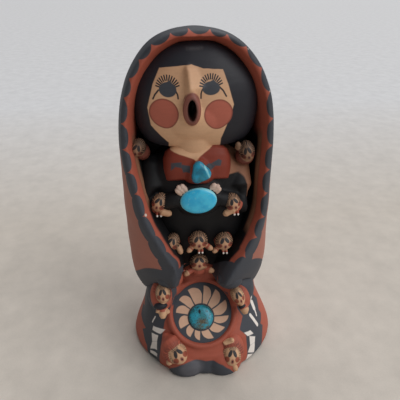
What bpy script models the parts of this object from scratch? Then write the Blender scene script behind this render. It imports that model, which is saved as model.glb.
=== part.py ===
"""Storyteller figure: one fired clay body and the three turquoise stones set in it.

Metres, +Z up, the figure faces -Y, and the origin lies in the flat underside, below the head.
Free forms are given in figure units, FU, which are shares of the height, about a millimetre each.
"""
import bmesh
import bpy
import numpy as np
from mathutils import Matrix, Vector

# Driving dimensions.
HEIGHT = 0.2350
SHAWL_WALL = 0.008
STONE_GAP = 0.0003
SOCKET_DEPTH = 0.0022
OVAL_WIDTH = 0.0240
OVAL_HEIGHT = 0.0180
OVAL_THICKNESS = 0.0045
PENDANT_WIDTH = 0.0120
PENDANT_HEIGHT = 0.0135
PENDANT_THICKNESS = 0.0042
ROUND_DIAMETER = 0.0182
ROUND_THICKNESS = 0.0046
DISC_DIAMETER = 0.0440
DISC_RIM_WIDTH = 0.0026
DISC_RECESS = 0.0010
DISC_TILT = np.radians(44.0)

# Figure unit, in metres: the height is FIGURE_TALL of them.
FIGURE_TALL = 235.0
FU = HEIGHT / FIGURE_TALL

# Facets of the round forms.
SHAWL_SIDES = 24
BASE_SIDES = 32
OPENING_POINTS = 15
STONE_SIDES = 16
DISC_SIDES = 28

# Level of the flat underside, in figure units.
UNDERSIDE = 0.0


def clear_scene():
    for thing in list(bpy.data.objects):
        bpy.data.objects.remove(thing, do_unlink=True)


def curve_through(stations, at):
    """Smooth curve through a few (place, value) stations, without overshoot."""
    places = np.array([s[0] for s in stations], float)
    values = np.array([s[1] for s in stations], float)
    steps = np.diff(values) / np.diff(places)
    slopes = np.zeros(len(values))
    same_way = steps[:-1] * steps[1:] > 0
    mean = 2 * steps[:-1] * steps[1:] / np.where(same_way, steps[:-1] + steps[1:], 1)
    slopes[1:-1] = np.where(same_way, mean, 0)
    slopes[0], slopes[-1] = steps[0], steps[-1]
    at = np.clip(at, places[0], places[-1])
    i = int(np.clip(np.searchsorted(places, at) - 1, 0, len(places) - 2))
    gap = places[i + 1] - places[i]
    t = (at - places[i]) / gap
    start = (1 + 2 * t) * (1 - t) ** 2 * values[i] + t * (1 - t) ** 2 * gap * slopes[i]
    end = t * t * (3 - 2 * t) * values[i + 1] + t * t * (t - 1) * gap * slopes[i + 1]
    return start + end


def material(name, colour, roughness):
    made = bpy.data.materials.new(name)
    made.use_nodes = True
    made.diffuse_color = (*colour, 1)
    shader = made.node_tree.nodes["Principled BSDF"]
    shader.inputs["Base Color"].default_value = (*colour, 1)
    shader.inputs["Roughness"].default_value = roughness
    shader.inputs["Metallic"].default_value = 0.0
    return made


def add_mesh(name, points, faces, finish):
    """One object from points in metres and faces, shaded smooth, with its faces turned outward."""
    mesh = bpy.data.meshes.new(name)
    mesh.from_pydata([tuple(p) for p in points], [], faces)
    work = bmesh.new()
    work.from_mesh(mesh)
    bmesh.ops.recalc_face_normals(work, faces=work.faces)
    bmesh.ops.triangulate(work, faces=[f for f in work.faces if len(f.verts) > 4])
    work.to_mesh(mesh)
    work.free()
    mesh.shade_smooth()
    mesh.materials.append(finish)
    thing = bpy.data.objects.new(name, mesh)
    bpy.context.scene.collection.objects.link(thing)
    return thing


def loft(name, rings, finish):
    """Closed skin over rings of equally many points, in figure units, with a lid on both ends."""
    count = len(rings[0])
    points = [Vector(p) * FU for ring in rings for p in ring]
    faces = []
    for row in range(len(rings) - 1):
        for i in range(count):
            j = (i + 1) % count
            faces.append((row * count + i, row * count + j, (row + 1) * count + j,
                          (row + 1) * count + i))
    for row, ring in ((0, rings[0]), (len(rings) - 1, rings[-1])):
        middle = len(points)
        points.append(sum((Vector(p) for p in ring), Vector()) * FU / count)
        faces += [(row * count + i, row * count + (i + 1) % count, middle) for i in range(count)]
    return add_mesh(name, points, faces, finish)


def oval_ring(middle, half_width, front, back, sides, squareness=2.0):
    """Level ring: half_width to each side, front toward -Y and back toward +Y."""
    ring = []
    for i in range(sides):
        angle = 2 * np.pi * i / sides
        c, s = np.cos(angle), np.sin(angle)
        power = 2 / squareness
        deep = back if s > 0 else front
        ring.append((middle[0] + half_width * np.sign(c) * abs(c) ** power,
                     middle[1] + deep * np.sign(s) * abs(s) ** power, middle[2]))
    return ring


def frame_for(facing, up=(0, 0, 1)):
    """Turns +X right, +Y up and +Z out of the face that looks along facing."""
    out = Vector(facing).normalized()
    right = Vector(up).cross(out).normalized()
    return Matrix((right, out.cross(right), out)).transposed()


def ball(name, middle, radii, finish, turn=None, rows=6, sides=10):
    """Squashed ball: radii along the turned right, up and out."""
    turn = turn or Matrix.Identity(3)
    centre = Vector(middle)
    rings = []
    for row in range(1, rows):
        lift = np.pi * row / rows
        rings.append([centre + turn @ Vector((radii[0] * np.sin(lift) * np.cos(a),
                                              radii[1] * np.cos(lift),
                                              radii[2] * np.sin(lift) * np.sin(a)))
                      for a in 2 * np.pi * np.arange(sides) / sides])
    points = [p * FU for ring in rings for p in ring]
    points += [(centre + turn @ Vector((0, radii[1], 0))) * FU,
               (centre - turn @ Vector((0, radii[1], 0))) * FU]
    top, bottom, last = len(points) - 2, len(points) - 1, (rows - 2) * sides
    faces = []
    for i in range(sides):
        j = (i + 1) % sides
        faces += [(top, j, i), (bottom, last + i, last + j)]
        faces += [(r * sides + i, r * sides + j, (r + 1) * sides + j, (r + 1) * sides + i)
                  for r in range(rows - 2)]
    return add_mesh(name, points, faces, finish)


def limb(name, path, radii, finish, sides=8):
    """Round tapered limb along a path of figure points."""
    places = [Vector(p) for p in path]
    rings = []
    for i, place in enumerate(places):
        along = (places[min(i + 1, len(places) - 1)] - places[max(i - 1, 0)]).normalized()
        side = along.cross(Vector((0.31, 0.17, 0.93))).normalized()
        other = along.cross(side)
        rings.append([place + (side * np.cos(a) + other * np.sin(a)) * radii[i]
                      for a in 2 * np.pi * np.arange(sides) / sides])
    return loft(name, rings, finish)


# The shawl: half its width at each height, and where the crest of its rim lies.
SHAWL_MIDDLE = ((44, -1.7), (78, -1.8), (100, -2.4), (150, -3.3))
SHAWL_MIDDLE_DEPTH = 6.0
SHAWL_HALF_WIDTH = ((44, 43.0), (52, 47.0), (62, 50.0), (78, 51.6), (100, 51.7), (150, 50.6),
                    (170, 50.2), (183, 49.2), (193, 47.5), (203, 44.4), (212, 40.2), (220, 34.6),
                    (226, 28.8), (231, 20.5), (234, 11.0), (235, 4.0))
SHAWL_BACK = ((44, 41), (62, 44), (100, 45), (160, 43), (190, 39), (210, 32), (224, 22),
              (231, 14), (235, 4))
SHAWL_FRONT = ((44, 44.5), (80, 44.4), (94, 46), (118, 51), (141, 46), (165, 45))
SHAWL_SQUARENESS = ((110, 2.0), (165, 2.8))
RIM_DEPTH = ((44, -34), (66, -34.5), (80, -34), (94, -31.5), (118, -26), (141, -21),
             (160, -18.5), (185, -16.5), (210, -15.5), (222, -14.5), (230, -12.5), (234, -9.5),
             (235, -5))
RIM_TURN = ((44, 5.5), (80, 5.5), (118, 7.5), (141, 5), (165, 0))
HEM_SIDE, HEM_FRONT = 45.0, 66.0
HEM_LEVEL_FROM = 92.0
OPENING_LOW, OPENING_HIGH, OPENING_TIP = 50.0, 234.0, 0.8


def plan_power(z):
    """Power that bends the front half of the shawl's plan curve from round to square."""
    return 2 / curve_through(SHAWL_SQUARENESS, z)


def crest_angle(z, side):
    """Angle on the plan curve, from its side, of the rim's crest; side is -1 or 1."""
    share = (SHAWL_MIDDLE_DEPTH - curve_through(RIM_DEPTH, z)) / curve_through(SHAWL_FRONT, z)
    return np.arcsin(share ** (1 / plan_power(z))) - side * np.radians(curve_through(RIM_TURN, z))


def crest(z, side):
    """Where the rim's crest lies at a height, as x and y."""
    angle, power = crest_angle(z, side), plan_power(z)
    wide = curve_through(SHAWL_HALF_WIDTH, z) * np.cos(angle) ** power
    deep = curve_through(SHAWL_FRONT, z) * np.sin(angle) ** power
    return np.array((curve_through(SHAWL_MIDDLE, z) + side * wide, SHAWL_MIDDLE_DEPTH - deep))


def hem_height(y):
    """The shawl's lower edge rises from the sides to the front."""
    share = np.clip((2 - y) / 34, 0, 1)
    return HEM_SIDE + (HEM_FRONT - HEM_SIDE) * share * share * (3 - 2 * share)


def shawl_ring(z):
    """Level section: from the right crest round the back to the left one, then the rim's face."""
    half, back = curve_through(SHAWL_HALF_WIDTH, z), curve_through(SHAWL_BACK, z)
    front, power = curve_through(SHAWL_FRONT, z), plan_power(z)
    middle = curve_through(SHAWL_MIDDLE, z)
    ring = []
    for angle in np.linspace(-crest_angle(z, 1), np.pi + crest_angle(z, -1), SHAWL_SIDES):
        c, s = np.cos(angle), np.sin(angle)
        deep = back * s if s > 0 else -front * abs(s) ** power
        side = half * np.sign(c) * (abs(c) ** power if s < 0 else abs(c))
        ring.append((middle + side, SHAWL_MIDDLE_DEPTH + deep))
    left, right = crest(z, -1), crest(z, 1)
    for share, forward in ((0.035, 1.4), (0.25, 1.2), (0.5, 0.6), (0.75, 1.2), (0.965, 1.4)):
        x, y = left + (right - left) * share
        ring.append((x, y - forward))
    level = min((HEM_LEVEL_FROM - z) / (HEM_LEVEL_FROM - HEM_SIDE), 1)
    return [(x, y, z + (hem_height(y) - HEM_SIDE) * max(level, 0)) for x, y in ring]


def opening_side(side, inset, behind):
    """Half of the front opening's outline, up from the lap, inset from the crest and behind it."""
    heights = OPENING_LOW + (OPENING_HIGH - OPENING_LOW) * np.sin(
        np.linspace(0, np.pi / 2, OPENING_POINTS))
    places = [np.array((crest(z, side)[0], z)) for z in heights]
    middle = curve_through(SHAWL_MIDDLE, OPENING_HIGH)
    ring = []
    for i, place in enumerate(places):
        along = places[min(i + 1, len(places) - 1)] - places[max(i - 1, 0)]
        if i == len(places) - 1:
            along = np.array((-side, 0.0))
        inward = np.array((-along[1], along[0])) * side / np.linalg.norm(along)
        x, z = place + inset * inward
        ring.append((middle + side * max(side * (x - middle), OPENING_TIP),
                     crest(place[1], side)[1] + behind, z))
    return ring


def opening_ring(inset, behind):
    return opening_side(1, inset, behind) + opening_side(-1, inset, behind)[::-1]


def make_shawl(finish):
    levels = (45, 50, 56, 63, 71, 80, 90, 102, 115, 128, 141, 153, 165, 177, 188, 198, 207, 215,
              221, 226, 230.5, 233.6, 235)
    shell = loft("shawl", [shawl_ring(z) for z in levels], finish)
    wall = SHAWL_WALL / FU
    rings = [opening_ring(wall * share, behind) for share, behind in
             ((0.30, -6), (0.42, -0.5), (0.66, 2.5), (0.9, 7), (1.0, 14), (1.05, 24), (1.3, 34))]
    return shell, loft("hollow_in_the_shawl", rings, finish)


# The robe's foot under the shawl, flared to the table.
BASE_HALF_WIDTH = ((0, 55.8), (2, 57.0), (6, 56.4), (13, 54.2), (21, 50.8), (30, 46.8), (38, 43.8),
                   (46, 42.0), (56, 41.0))
BASE_BACK = ((0, 52.0), (2, 53.0), (6, 52.4), (13, 50.4), (21, 47.8), (30, 45.0), (38, 42.8),
             (46, 41.0), (56, 38.0))
BASE_FRONT = ((0, 51.0), (2, 52.0), (6, 51.4), (13, 49.4), (21, 45.5), (30, 37.0), (38, 29.0),
              (46, 21.0), (56, 12.0))
BASE_SQUARENESS = ((0, 1.85), (13, 1.9), (40, 3.0))


def make_base(finish):
    levels = (UNDERSIDE, 2, 6, 13, 21, 30, 38, 46, 56)
    return loft("robe_foot", [oval_ring((0, 0, z), curve_through(BASE_HALF_WIDTH, z),
                                        curve_through(BASE_FRONT, z), curve_through(BASE_BACK, z),
                                        BASE_SIDES, curve_through(BASE_SQUARENESS, z))
                              for z in levels], finish)


# The woman inside: black dress, lap, neck and head.
BODY_HALF_WIDTH = ((50, 38), (75, 38), (90, 38), (110, 36), (130, 34.5), (145, 34), (153, 30),
                   (159, 22), (164, 15), (172, 13))
BODY_FRONT = ((50, 6), (66, 8), (80, 12), (95, 16), (110, 18.5), (130, 20.5), (150, 18.5),
              (159, 15), (172, 10))
HEAD_HALF_WIDTH = ((166, 27), (169, 32), (175, 35.6), (184, 37.8), (194, 38.4), (203, 37.4),
                   (211, 33.6), (218, 27.8), (224, 20), (228, 11), (229.3, 3))
HEAD_FRONT = ((166, 13), (170, 16), (178, 20.0), (192, 22.5), (202, 21.5), (211, 18.8),
              (218, 15.4), (224, 11), (228, 6), (229.3, 2))
HEAD_MIDDLE = (-3.6, -1.0)
FACE_TURN = np.radians(-8.0)
MOUTH = (-7.9, -26.0, 192.0)


def make_woman(finish):
    body = loft("dress", [oval_ring((-3.4, 4, z), curve_through(BODY_HALF_WIDTH, z),
                                    4 + curve_through(BODY_FRONT, z), 24, 18, 2.3)
                          for z in (50, 66, 80, 95, 110, 125, 140, 150, 156, 161, 166, 172)],
                finish)
    head = loft("head", [oval_ring((*HEAD_MIDDLE, z), curve_through(HEAD_HALF_WIDTH, z),
                                   curve_through(HEAD_FRONT, z), 24, 24, 2.15)
                         for z in (166, 169, 174, 182, 190, 198, 206, 213, 219, 224, 228, 229.3)],
                finish)
    turn = Matrix.Rotation(FACE_TURN, 3, "Z") @ frame_for((0, -1, 0))
    jaw = ball("jaw", (-7.0, -7.0, 186.5), (23.5, 18.5, 18.0), finish, turn, 8, 18)
    neck = limb("neck", ((-5, -4, 152), (-5.5, -5, 166), (-6, -6, 176)), (17, 15, 14), finish, 14)
    lips = ball("lips", MOUTH, (5.9, 11.2, 4.4), finish, turn, 8, 14)
    mouth = ball("mouth_hollow", Vector(MOUTH) + Vector((-0.4, -3.6, 0.4)), (3.4, 6.8, 8.0),
                 finish, turn, 6, 10)
    side = turn @ Vector((1, 0, 0))
    ridge = ((Vector((-8.2, -14.5, 220.0)), 5.0), (Vector((-8.0, -20.0, 216.0)), 5.5),
             (Vector((-7.8, -29.0, 203.0)), 7.0), (Vector((-7.8, -22.0, 197.0)), 6.0))
    sunk = Vector((0, 7, 0))
    nose = loft("nose", [[p + side * w + sunk, p + side, p - side, p - side * w + sunk]
                         for p, w in ridge], finish)
    arms = []
    for name, shoulder, elbow, wrist in (("right_sleeve", (-33, -1, 149), (-34, -12, 124),
                                          (-18, -22, 134)),
                                         ("left_sleeve", (26, -1, 149), (27, -12, 123),
                                          (11, -22, 133))):
        middle = (Vector(shoulder) + Vector(elbow)) / 2 + Vector((0, -3, 1))
        arms.append(limb(name, (shoulder, middle, elbow, wrist), (8.5, 9.0, 8.5, 5.0), finish, 9))
    collar = loft("collar", [oval_ring((-3.6, 2, z), w, f, 14, 20, 2.4) for z, w, f in
                             ((146.5, 21.5, 20.5), (148, 23.2, 22.3), (155, 23.4, 21.6),
                              (162, 22.5, 19.6), (166, 20.0, 17.5), (168, 16.0, 15.0))], finish)
    hands = [ball("right_hand", (-15.0, -25.0, 142.0), (4.2, 4.4, 3.6), finish, None, 6, 8),
             ball("left_hand", (7.4, -25.0, 141.0), (4.2, 4.4, 3.6), finish, None, 6, 8)]
    return [body, head, jaw, neck, lips, nose, collar, *arms, *hands], mouth


# The drum in her lap: its head is a disc that faces forward and up.
DISC_MIDDLE = (-1.4, -28.0, 39.7)
DISC_FACING = (0.02, -np.cos(DISC_TILT), np.sin(DISC_TILT))
ROUND_DROP = 2.6


def disc_ring(radius, behind, sides=DISC_SIDES):
    turn = frame_for(DISC_FACING)
    return [Vector(DISC_MIDDLE) + turn @ Vector((radius * np.cos(a), radius * np.sin(a), -behind))
            for a in 2 * np.pi * np.arange(sides) / sides]


def make_drum(finish):
    face, rim, recess = (v / FU for v in (DISC_DIAMETER / 2, DISC_RIM_WIDTH, DISC_RECESS))
    edge = face + rim
    barrel = loft("drum", [disc_ring(r, b) for r, b in
                           ((edge - rim, recess), (edge - rim * 0.9, 0.1), (edge - rim * 0.4, 0),
                            (edge, 1.0), (edge + 0.6, 3.0), (edge + 1.5, 8), (edge - 4, 20))],
                  finish)
    mound = loft("drum_shoulder", [oval_ring((-2.0, 2, z), w, f, 8, 16, 2.3) for z, w, f in
                                   ((48, 20, 22), (58, 19.5, 14.6), (63, 18, 13.6), (68, 14, 13.4),
                                    (72, 9, 12))], finish)
    front = loft("drum_foot", [oval_ring((-3.5, -20, z), w, f, 20, 22, 2.7) for z, w, f in
                               ((UNDERSIDE, 37, 28), (8, 37.0, 29.4), (15, 35.0, 29.2), (24, 32.0, 22),
                                (38, 30, 8.5), (46, 27, 1))], finish)
    upright = frame_for((0, -1, 0))
    thighs = [ball(name, (x, -12.4, 48.3), (14.0, 17.6, 14.7), finish, upright, 6, 12)
              for name, x in (("right_thigh", -28.5), ("left_thigh", 26.0))]
    return [barrel, mound, front, *thighs]


def make_feet(finish):
    """Two round toes of the hem, cut flat by the table."""
    toes = []
    for name, x, y, wide in (("right_toe", -14.5, -40.8, 15.0), ("left_toe", 12.5, -41.6, 14.6)):
        rings = []
        for z, share in ((UNDERSIDE, 0.96), (3, 1.0), (8, 0.97), (12.5, 0.82), (16, 0.5), (17.2, 0.15)):
            rings.append(oval_ring((x, y, z), wide * share, 13.0 * share, 13.0 * share, 14))
        toes.append(loft(name, rings, finish))
    return toes


def make_knees(finish):
    """The shawl's two front ends, rounded over the knees."""
    return [ball("right_knee", (-21.0, -26.0, 67.0), (11.0, 8.5, 9.0), finish, None, 6, 12),
            ball("left_knee", (19.0, -26.0, 66.0), (11.0, 8.5, 9.5), finish, None, 6, 12)]


# The children: where each head is, where it looks, its roll, and where its body, hands and feet go.
CHILD_HEAD = (6.6, 6.6, 5.8)
CHILDREN = (
    ("shoulder_right", (-38.5, -12.0, 167.5), (0.25, -1.0, 0.1), -20, (3.0, 7.0, -9.0),
     ((2.0, -3.5, -9.0),), ()),
    ("shoulder_left", (26.5, -12.0, 162.5), (-0.2, -1.0, 0.1), 15, (3.0, 6.0, -8.0),
     ((-5.5, -2.0, 5.0), (-4.0, -3.5, -9.0)), ()),
    ("arm_right", (-28.8, -20.0, 130.1), (0.1, -1.0, 0.35), -10, (-2.0, 9.0, -6.0),
     ((6.5, -2.5, -6.5), (-3.0, -3.5, -7.5)), ((1.0, -3.0, -9.0),)),
    ("arm_left", (20.2, -20.0, 128.6), (-0.1, -1.0, 0.35), 10, (2.0, 9.0, -6.0),
     ((-5.5, -3.0, -5.0), (4.5, -3.0, -6.0)), ((2.5, -4.5, -7.5), (4.6, -4.3, -7.4))),
    ("lap_right", (-20.0, -21.0, 98.8), (0.05, -1.0, 0.5), -8, (-1.0, 8.0, -4.0),
     ((5.8, -3.0, -6.5), (-3.0, -3.5, -7.0)), ()),
    ("lap_middle", (-2.7, -22.0, 100.8), (0.0, -1.0, 0.5), 0, (0.0, 8.0, -4.0),
     ((8.2, -1.5, -4.0), (-8.2, -1.5, -4.0)), ((-1.3, -4.0, -8.0), (1.8, -4.0, -8.2))),
    ("lap_left", (12.8, -21.0, 98.5), (0.0, -1.0, 0.5), 6, (0.5, 8.0, -4.0),
     ((-6.5, -2.5, -4.5), (7.0, -1.5, -4.5)), ((0.5, -4.2, -7.8), (3.2, -4.0, -7.4))),
    ("drum_top", (-3.0, -17.0, 78.5), (0.0, -1.0, 0.75), 0, (0.0, 5.0, -10.0),
     ((10.0, -1.0, -6.5), (-10.5, -1.0, -7.0)), ()),
    ("drum_right", (-30.6, -29.0, 63.0), (-0.1, -1.0, 0.7), 0, (-1.5, 6.0, -9.0),
     ((0.0, -6.8, -14.0),), ((1.0, -4.0, -9.5),)),
    ("drum_left", (25.4, -29.0, 55.2), (0.1, -1.0, 0.7), 22, (4.0, 6.0, -7.0),
     ((4.5, -5.5, -11.5),), ((2.5, -4.0, -8.5),)),
    ("foot_right", (-22.5, -45.5, 20.3), (0.1, -1.0, 0.95), 28, (-5.0, 9.0, 5.0),
     ((-5.5, -2.5, -5.0), (5.0, 3.5, -5.5)), ()),
    ("foot_left", (18.9, -46.5, 16.2), (0.0, -1.0, 0.95), -8, (-0.5, 8.0, 8.0),
     ((2.0, -3.0, -7.0), (-0.5, 3.5, 11.0)), ()),
)


def make_child(name, head, facing, roll, body, hands, feet, finish):
    """One small child: a ball of a head, a body behind it, and round hands and feet."""
    turn = frame_for(facing) @ Matrix.Rotation(np.radians(roll), 3, "Z")
    centre = Vector(head)
    made = [ball(f"{name}_head", centre, CHILD_HEAD, finish, turn, 6, 10)]
    along = Vector(body)
    made.append(limb(f"{name}_body", (centre + along * 0.1, centre + along * 0.6,
                                      centre + along, centre + along * 1.3),
                     (4.0, 7.0, 6.5, 3.5), finish, 7))
    for i, place in enumerate(hands):
        shoulder, hand = along * 0.5, Vector(place)
        made.append(limb(f"{name}_arm_{i + 1}", (centre + shoulder, centre + shoulder.lerp(hand, 0.8),
                                                 centre + hand, centre + shoulder.lerp(hand, 1.2)),
                         (2.0, 2.4, 2.2, 1.0), finish, 5))
    for i, place in enumerate(feet):
        hip, foot = along * 0.5 + Vector((0, 0, -2)), Vector(place)
        made.append(limb(f"{name}_leg_{i + 1}", (centre + hip, centre + foot,
                                                 centre + hip.lerp(foot, 1.15)),
                         (1.6, 1.4, 0.8), finish, 5))
    return made


def stone_outline(width, height, sides, corners=0.0):
    """Oval outline about its middle; corners draws it toward a rounded three-cornered pebble."""
    outline = []
    for a in 2 * np.pi * np.arange(sides) / sides:
        pull = 1 + corners * np.cos(3 * (a - np.pi / 2))
        outline.append((width / 2 * np.cos(a) * pull, height / 2 * np.sin(a) * pull))
    return outline


def make_stone(name, middle, turn, outline, thickness, finish):
    """Domed cabochon in metres: upright edge, then a crowned top. Its back is SOCKET_DEPTH in."""
    rings = []
    for share, height in ((1, 0), (1, 0.42), (0.93, 0.68), (0.74, 0.88), (0.42, 0.98)):
        rings.append([(middle + turn @ Vector((x * share, y * share,
                                               thickness * height - SOCKET_DEPTH))) / FU
                      for x, y in outline])
    return loft(name, rings, finish)


def make_socket(name, middle, turn, outline, finish):
    """Cutter for the stone's bed, STONE_GAP wider and deeper than the stone."""
    rings = []
    for level in (-SOCKET_DEPTH - STONE_GAP, 3 * SOCKET_DEPTH):
        ring = []
        for x, y in outline:
            wider = 1 + STONE_GAP / np.hypot(x, y)
            ring.append((middle + turn @ Vector((x * wider, y * wider, level))) / FU)
        rings.append(ring)
    return loft(name, rings, finish)


def bed_for(name, middle, turn, outline, margin, depth, finish):
    """Pad of clay under a stone, so that its bed is clay all over."""
    rings = []
    for level, spread in ((-depth, margin + 0.6 * depth), (-0.0006, margin), (0.0, margin * 0.6)):
        ring = []
        for x, y in outline:
            wider = 1 + spread / np.hypot(x, y)
            ring.append((middle + turn @ Vector((x * wider, y * wider, level))) / FU)
        rings.append(ring)
    return loft(name, rings, finish)


def hide_as_tool(thing):
    thing.hide_render = True
    thing.display_type = "WIRE"


def gather(name, things):
    """Move things to a collection of their own, as operands of a Boolean."""
    group = bpy.data.collections.new(name)
    bpy.context.scene.collection.children.link(group)
    for thing in things:
        bpy.context.scene.collection.objects.unlink(thing)
        group.objects.link(thing)
        hide_as_tool(thing)
    return group


def boolean(thing, name, operation, group=None, other=None):
    cut = thing.modifiers.new(name, "BOOLEAN")
    cut.operation = operation
    cut.solver = "EXACT"
    if group:
        cut.operand_type = "COLLECTION"
        cut.collection = group
    else:
        cut.object = other


def main():
    clear_scene()
    clay = material("fired clay", (0.30, 0.085, 0.055), 0.75)
    turquoise = material("turquoise", (0.045, 0.38, 0.50), 0.25)

    figure, hollow = make_shawl(clay)
    figure.name = figure.data.name = "clay_figure"
    boolean(figure, "open the shawl", "DIFFERENCE", group=gather("hollow", [hollow]))

    added, mouth = make_woman(clay)
    added += [make_base(clay), *make_drum(clay), *make_feet(clay), *make_knees(clay)]
    for row in CHILDREN:
        added += make_child(*row, clay)

    disc_turn = frame_for(DISC_FACING)
    disc_face = Vector(DISC_MIDDLE) * FU - disc_turn @ Vector((0, 0, DISC_RECESS))
    stones = (
        ("turquoise_oval", Vector((-4.0, -26.0, 133.6)) * FU, frame_for((-0.03, -1, 0.12)),
         stone_outline(OVAL_WIDTH, OVAL_HEIGHT, STONE_SIDES), OVAL_THICKNESS, 0.0012),
        ("turquoise_pendant", Vector((-2.6, -23.5, 152.6)) * FU, frame_for((0.05, -1, 0.22)),
         stone_outline(PENDANT_WIDTH, PENDANT_HEIGHT, STONE_SIDES, 0.10), PENDANT_THICKNESS, 0.0006),
        ("turquoise_round", disc_face - disc_turn @ Vector((0.0008, ROUND_DROP * FU, 0)), disc_turn,
         stone_outline(ROUND_DIAMETER, ROUND_DIAMETER, STONE_SIDES), ROUND_THICKNESS, None),
    )
    sockets = [mouth]
    for name, middle, turn, outline, thickness, margin in stones:
        if margin is not None:
            added.append(bed_for(f"{name}_bed", middle, turn, outline, margin, 0.006, clay))
        sockets.append(make_socket(f"{name}_socket", middle, turn, outline, clay))
        make_stone(name, middle, turn, outline, thickness, turquoise)

    boolean(figure, "add the clay forms", "UNION", group=gather("clay forms", added))
    boolean(figure, "cut the mouth and stone beds", "DIFFERENCE",
            group=gather("cutters", sockets))


main()
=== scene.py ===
import bmesh
import bpy
import numpy as np
from mathutils import Matrix, Vector, noise
from mathutils.kdtree import KDTree


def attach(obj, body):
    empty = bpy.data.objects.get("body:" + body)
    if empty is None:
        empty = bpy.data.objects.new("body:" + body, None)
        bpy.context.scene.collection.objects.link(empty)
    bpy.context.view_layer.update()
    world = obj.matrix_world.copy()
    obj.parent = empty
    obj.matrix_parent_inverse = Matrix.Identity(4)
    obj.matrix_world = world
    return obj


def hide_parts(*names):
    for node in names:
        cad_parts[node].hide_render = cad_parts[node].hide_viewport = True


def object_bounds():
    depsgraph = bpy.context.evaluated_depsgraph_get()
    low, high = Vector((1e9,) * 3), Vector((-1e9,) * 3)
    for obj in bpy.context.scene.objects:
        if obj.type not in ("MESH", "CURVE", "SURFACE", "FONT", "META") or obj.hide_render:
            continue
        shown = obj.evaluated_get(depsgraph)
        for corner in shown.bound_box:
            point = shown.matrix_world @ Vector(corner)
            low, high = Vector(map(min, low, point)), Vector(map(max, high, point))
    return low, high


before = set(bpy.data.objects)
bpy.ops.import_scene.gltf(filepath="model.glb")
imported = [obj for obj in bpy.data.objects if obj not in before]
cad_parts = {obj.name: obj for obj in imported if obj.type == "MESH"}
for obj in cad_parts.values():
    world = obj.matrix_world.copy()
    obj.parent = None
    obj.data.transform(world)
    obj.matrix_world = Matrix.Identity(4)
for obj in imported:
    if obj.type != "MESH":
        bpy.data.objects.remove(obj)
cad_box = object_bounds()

# The shawl.
# A hooded wrap of clay, coiled and pinched to a wall about 8 mm thick, scraped, slipped and rubbed.
# Its rim is rounded over, and it is one body with all that it holds.

# A figure unit: the figure stands 235 of them high. All places and sizes are given in it, and a
# table gives a height and the value there.
FU = (cad_box[1][2] - cad_box[0][2]) / 235.0
SHAWL_WALL = 8.0
SHAWL_MIDDLE = ((44, -1.7), (78, -1.8), (100, -2.4), (150, -3.3))
SHAWL_MIDDLE_DEPTH = 6.0
SHAWL_HALF_WIDTH = ((44, 43.0), (52, 47.0), (62, 50.0), (78, 51.6), (100, 51.7), (150, 50.6),
                    (170, 50.2), (183, 49.2), (193, 47.5), (203, 44.4), (212, 40.2), (220, 34.6),
                    (226, 28.8), (231, 20.5), (234, 11.0), (235, 4.0))
SHAWL_BACK = ((44, 41), (62, 44), (100, 45), (160, 43), (190, 39), (210, 32), (224, 22),
              (231, 14), (235, 4))
SHAWL_FRONT = ((44, 44.5), (80, 44.4), (94, 46), (118, 51), (141, 46), (165, 45))
SHAWL_SQUARENESS = ((110, 2.0), (165, 2.8))
RIM_DEPTH = ((44, -34), (66, -34.5), (80, -34), (94, -31.5), (118, -26), (141, -21),
             (160, -18.5), (185, -16.5), (210, -15.5), (222, -14.5), (230, -12.5), (234, -9.5),
             (235, -5))
RIM_TURN = ((44, -4.0), (66, -3.0), (80, 2.4), (94, 5.6), (118, 7.5), (141, 5), (165, 0))
# Across the rim's face: the share of the way between the crests, and how far it bulges forward.
RIM_FACE = ((0.035, 1.4), (0.25, 1.2), (0.5, 0.6), (0.75, 1.2), (0.965, 1.4))
HEM_SIDE, HEM_FRONT, HEM_LEVEL_FROM = 45.0, 69.0, 92.0
HEM_RISE_FROM, HEM_RISE_RUN = 2, 34
OPENING_LOW, OPENING_HIGH, OPENING_TIP = 50.0, 234.0, 0.8
# The hollow's steps: the share of the wall that it leaves, and how far behind the crest it is.
HOLLOW_STEPS = ((0.30, -6), (0.42, -0.5), (0.66, 2.5), (0.9, 7), (1.0, 14), (1.05, 24), (1.3, 34))
SHAWL_SIDES, OPENING_POINTS = 84, 40
SHAWL_VOXEL, SHAWL_RUBS = 1.15, 8


def curve_through(stations, at):
    """Smooth curve through a few (place, value) stations, without overshoot."""
    places = np.array([s[0] for s in stations], float)
    values = np.array([s[1] for s in stations], float)
    steps = np.diff(values) / np.diff(places)
    slopes = np.zeros(len(values))
    same_way = steps[:-1] * steps[1:] > 0
    mean = 2 * steps[:-1] * steps[1:] / np.where(same_way, steps[:-1] + steps[1:], 1)
    slopes[1:-1] = np.where(same_way, mean, 0)
    slopes[0], slopes[-1] = steps[0], steps[-1]
    at = np.clip(at, places[0], places[-1])
    i = int(np.clip(np.searchsorted(places, at) - 1, 0, len(places) - 2))
    gap = places[i + 1] - places[i]
    t = (at - places[i]) / gap
    start = (1 + 2 * t) * (1 - t) ** 2 * values[i] + t * (1 - t) ** 2 * gap * slopes[i]
    end = t * t * (3 - 2 * t) * values[i + 1] + t * t * (t - 1) * gap * slopes[i + 1]
    return start + end


def lofted(rings):
    """Points and faces of a closed skin over rings of equally many points, with a lid at each
    end."""
    rings = [np.array([tuple(p) for p in ring], float) for ring in rings]
    count = len(rings[0])
    points = np.concatenate(rings + [rings[0].mean(0)[None], rings[-1].mean(0)[None]])
    last, low, high = (len(rings) - 1) * count, len(points) - 2, len(points) - 1
    faces = []
    for i in range(count):
        j = (i + 1) % count
        faces += [(i, low, j), (last + i, last + j, high)]
        faces += [(row + i, row + j, row + count + j, row + count + i)
                  for row in range(0, last, count)]
    return points, faces


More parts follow.
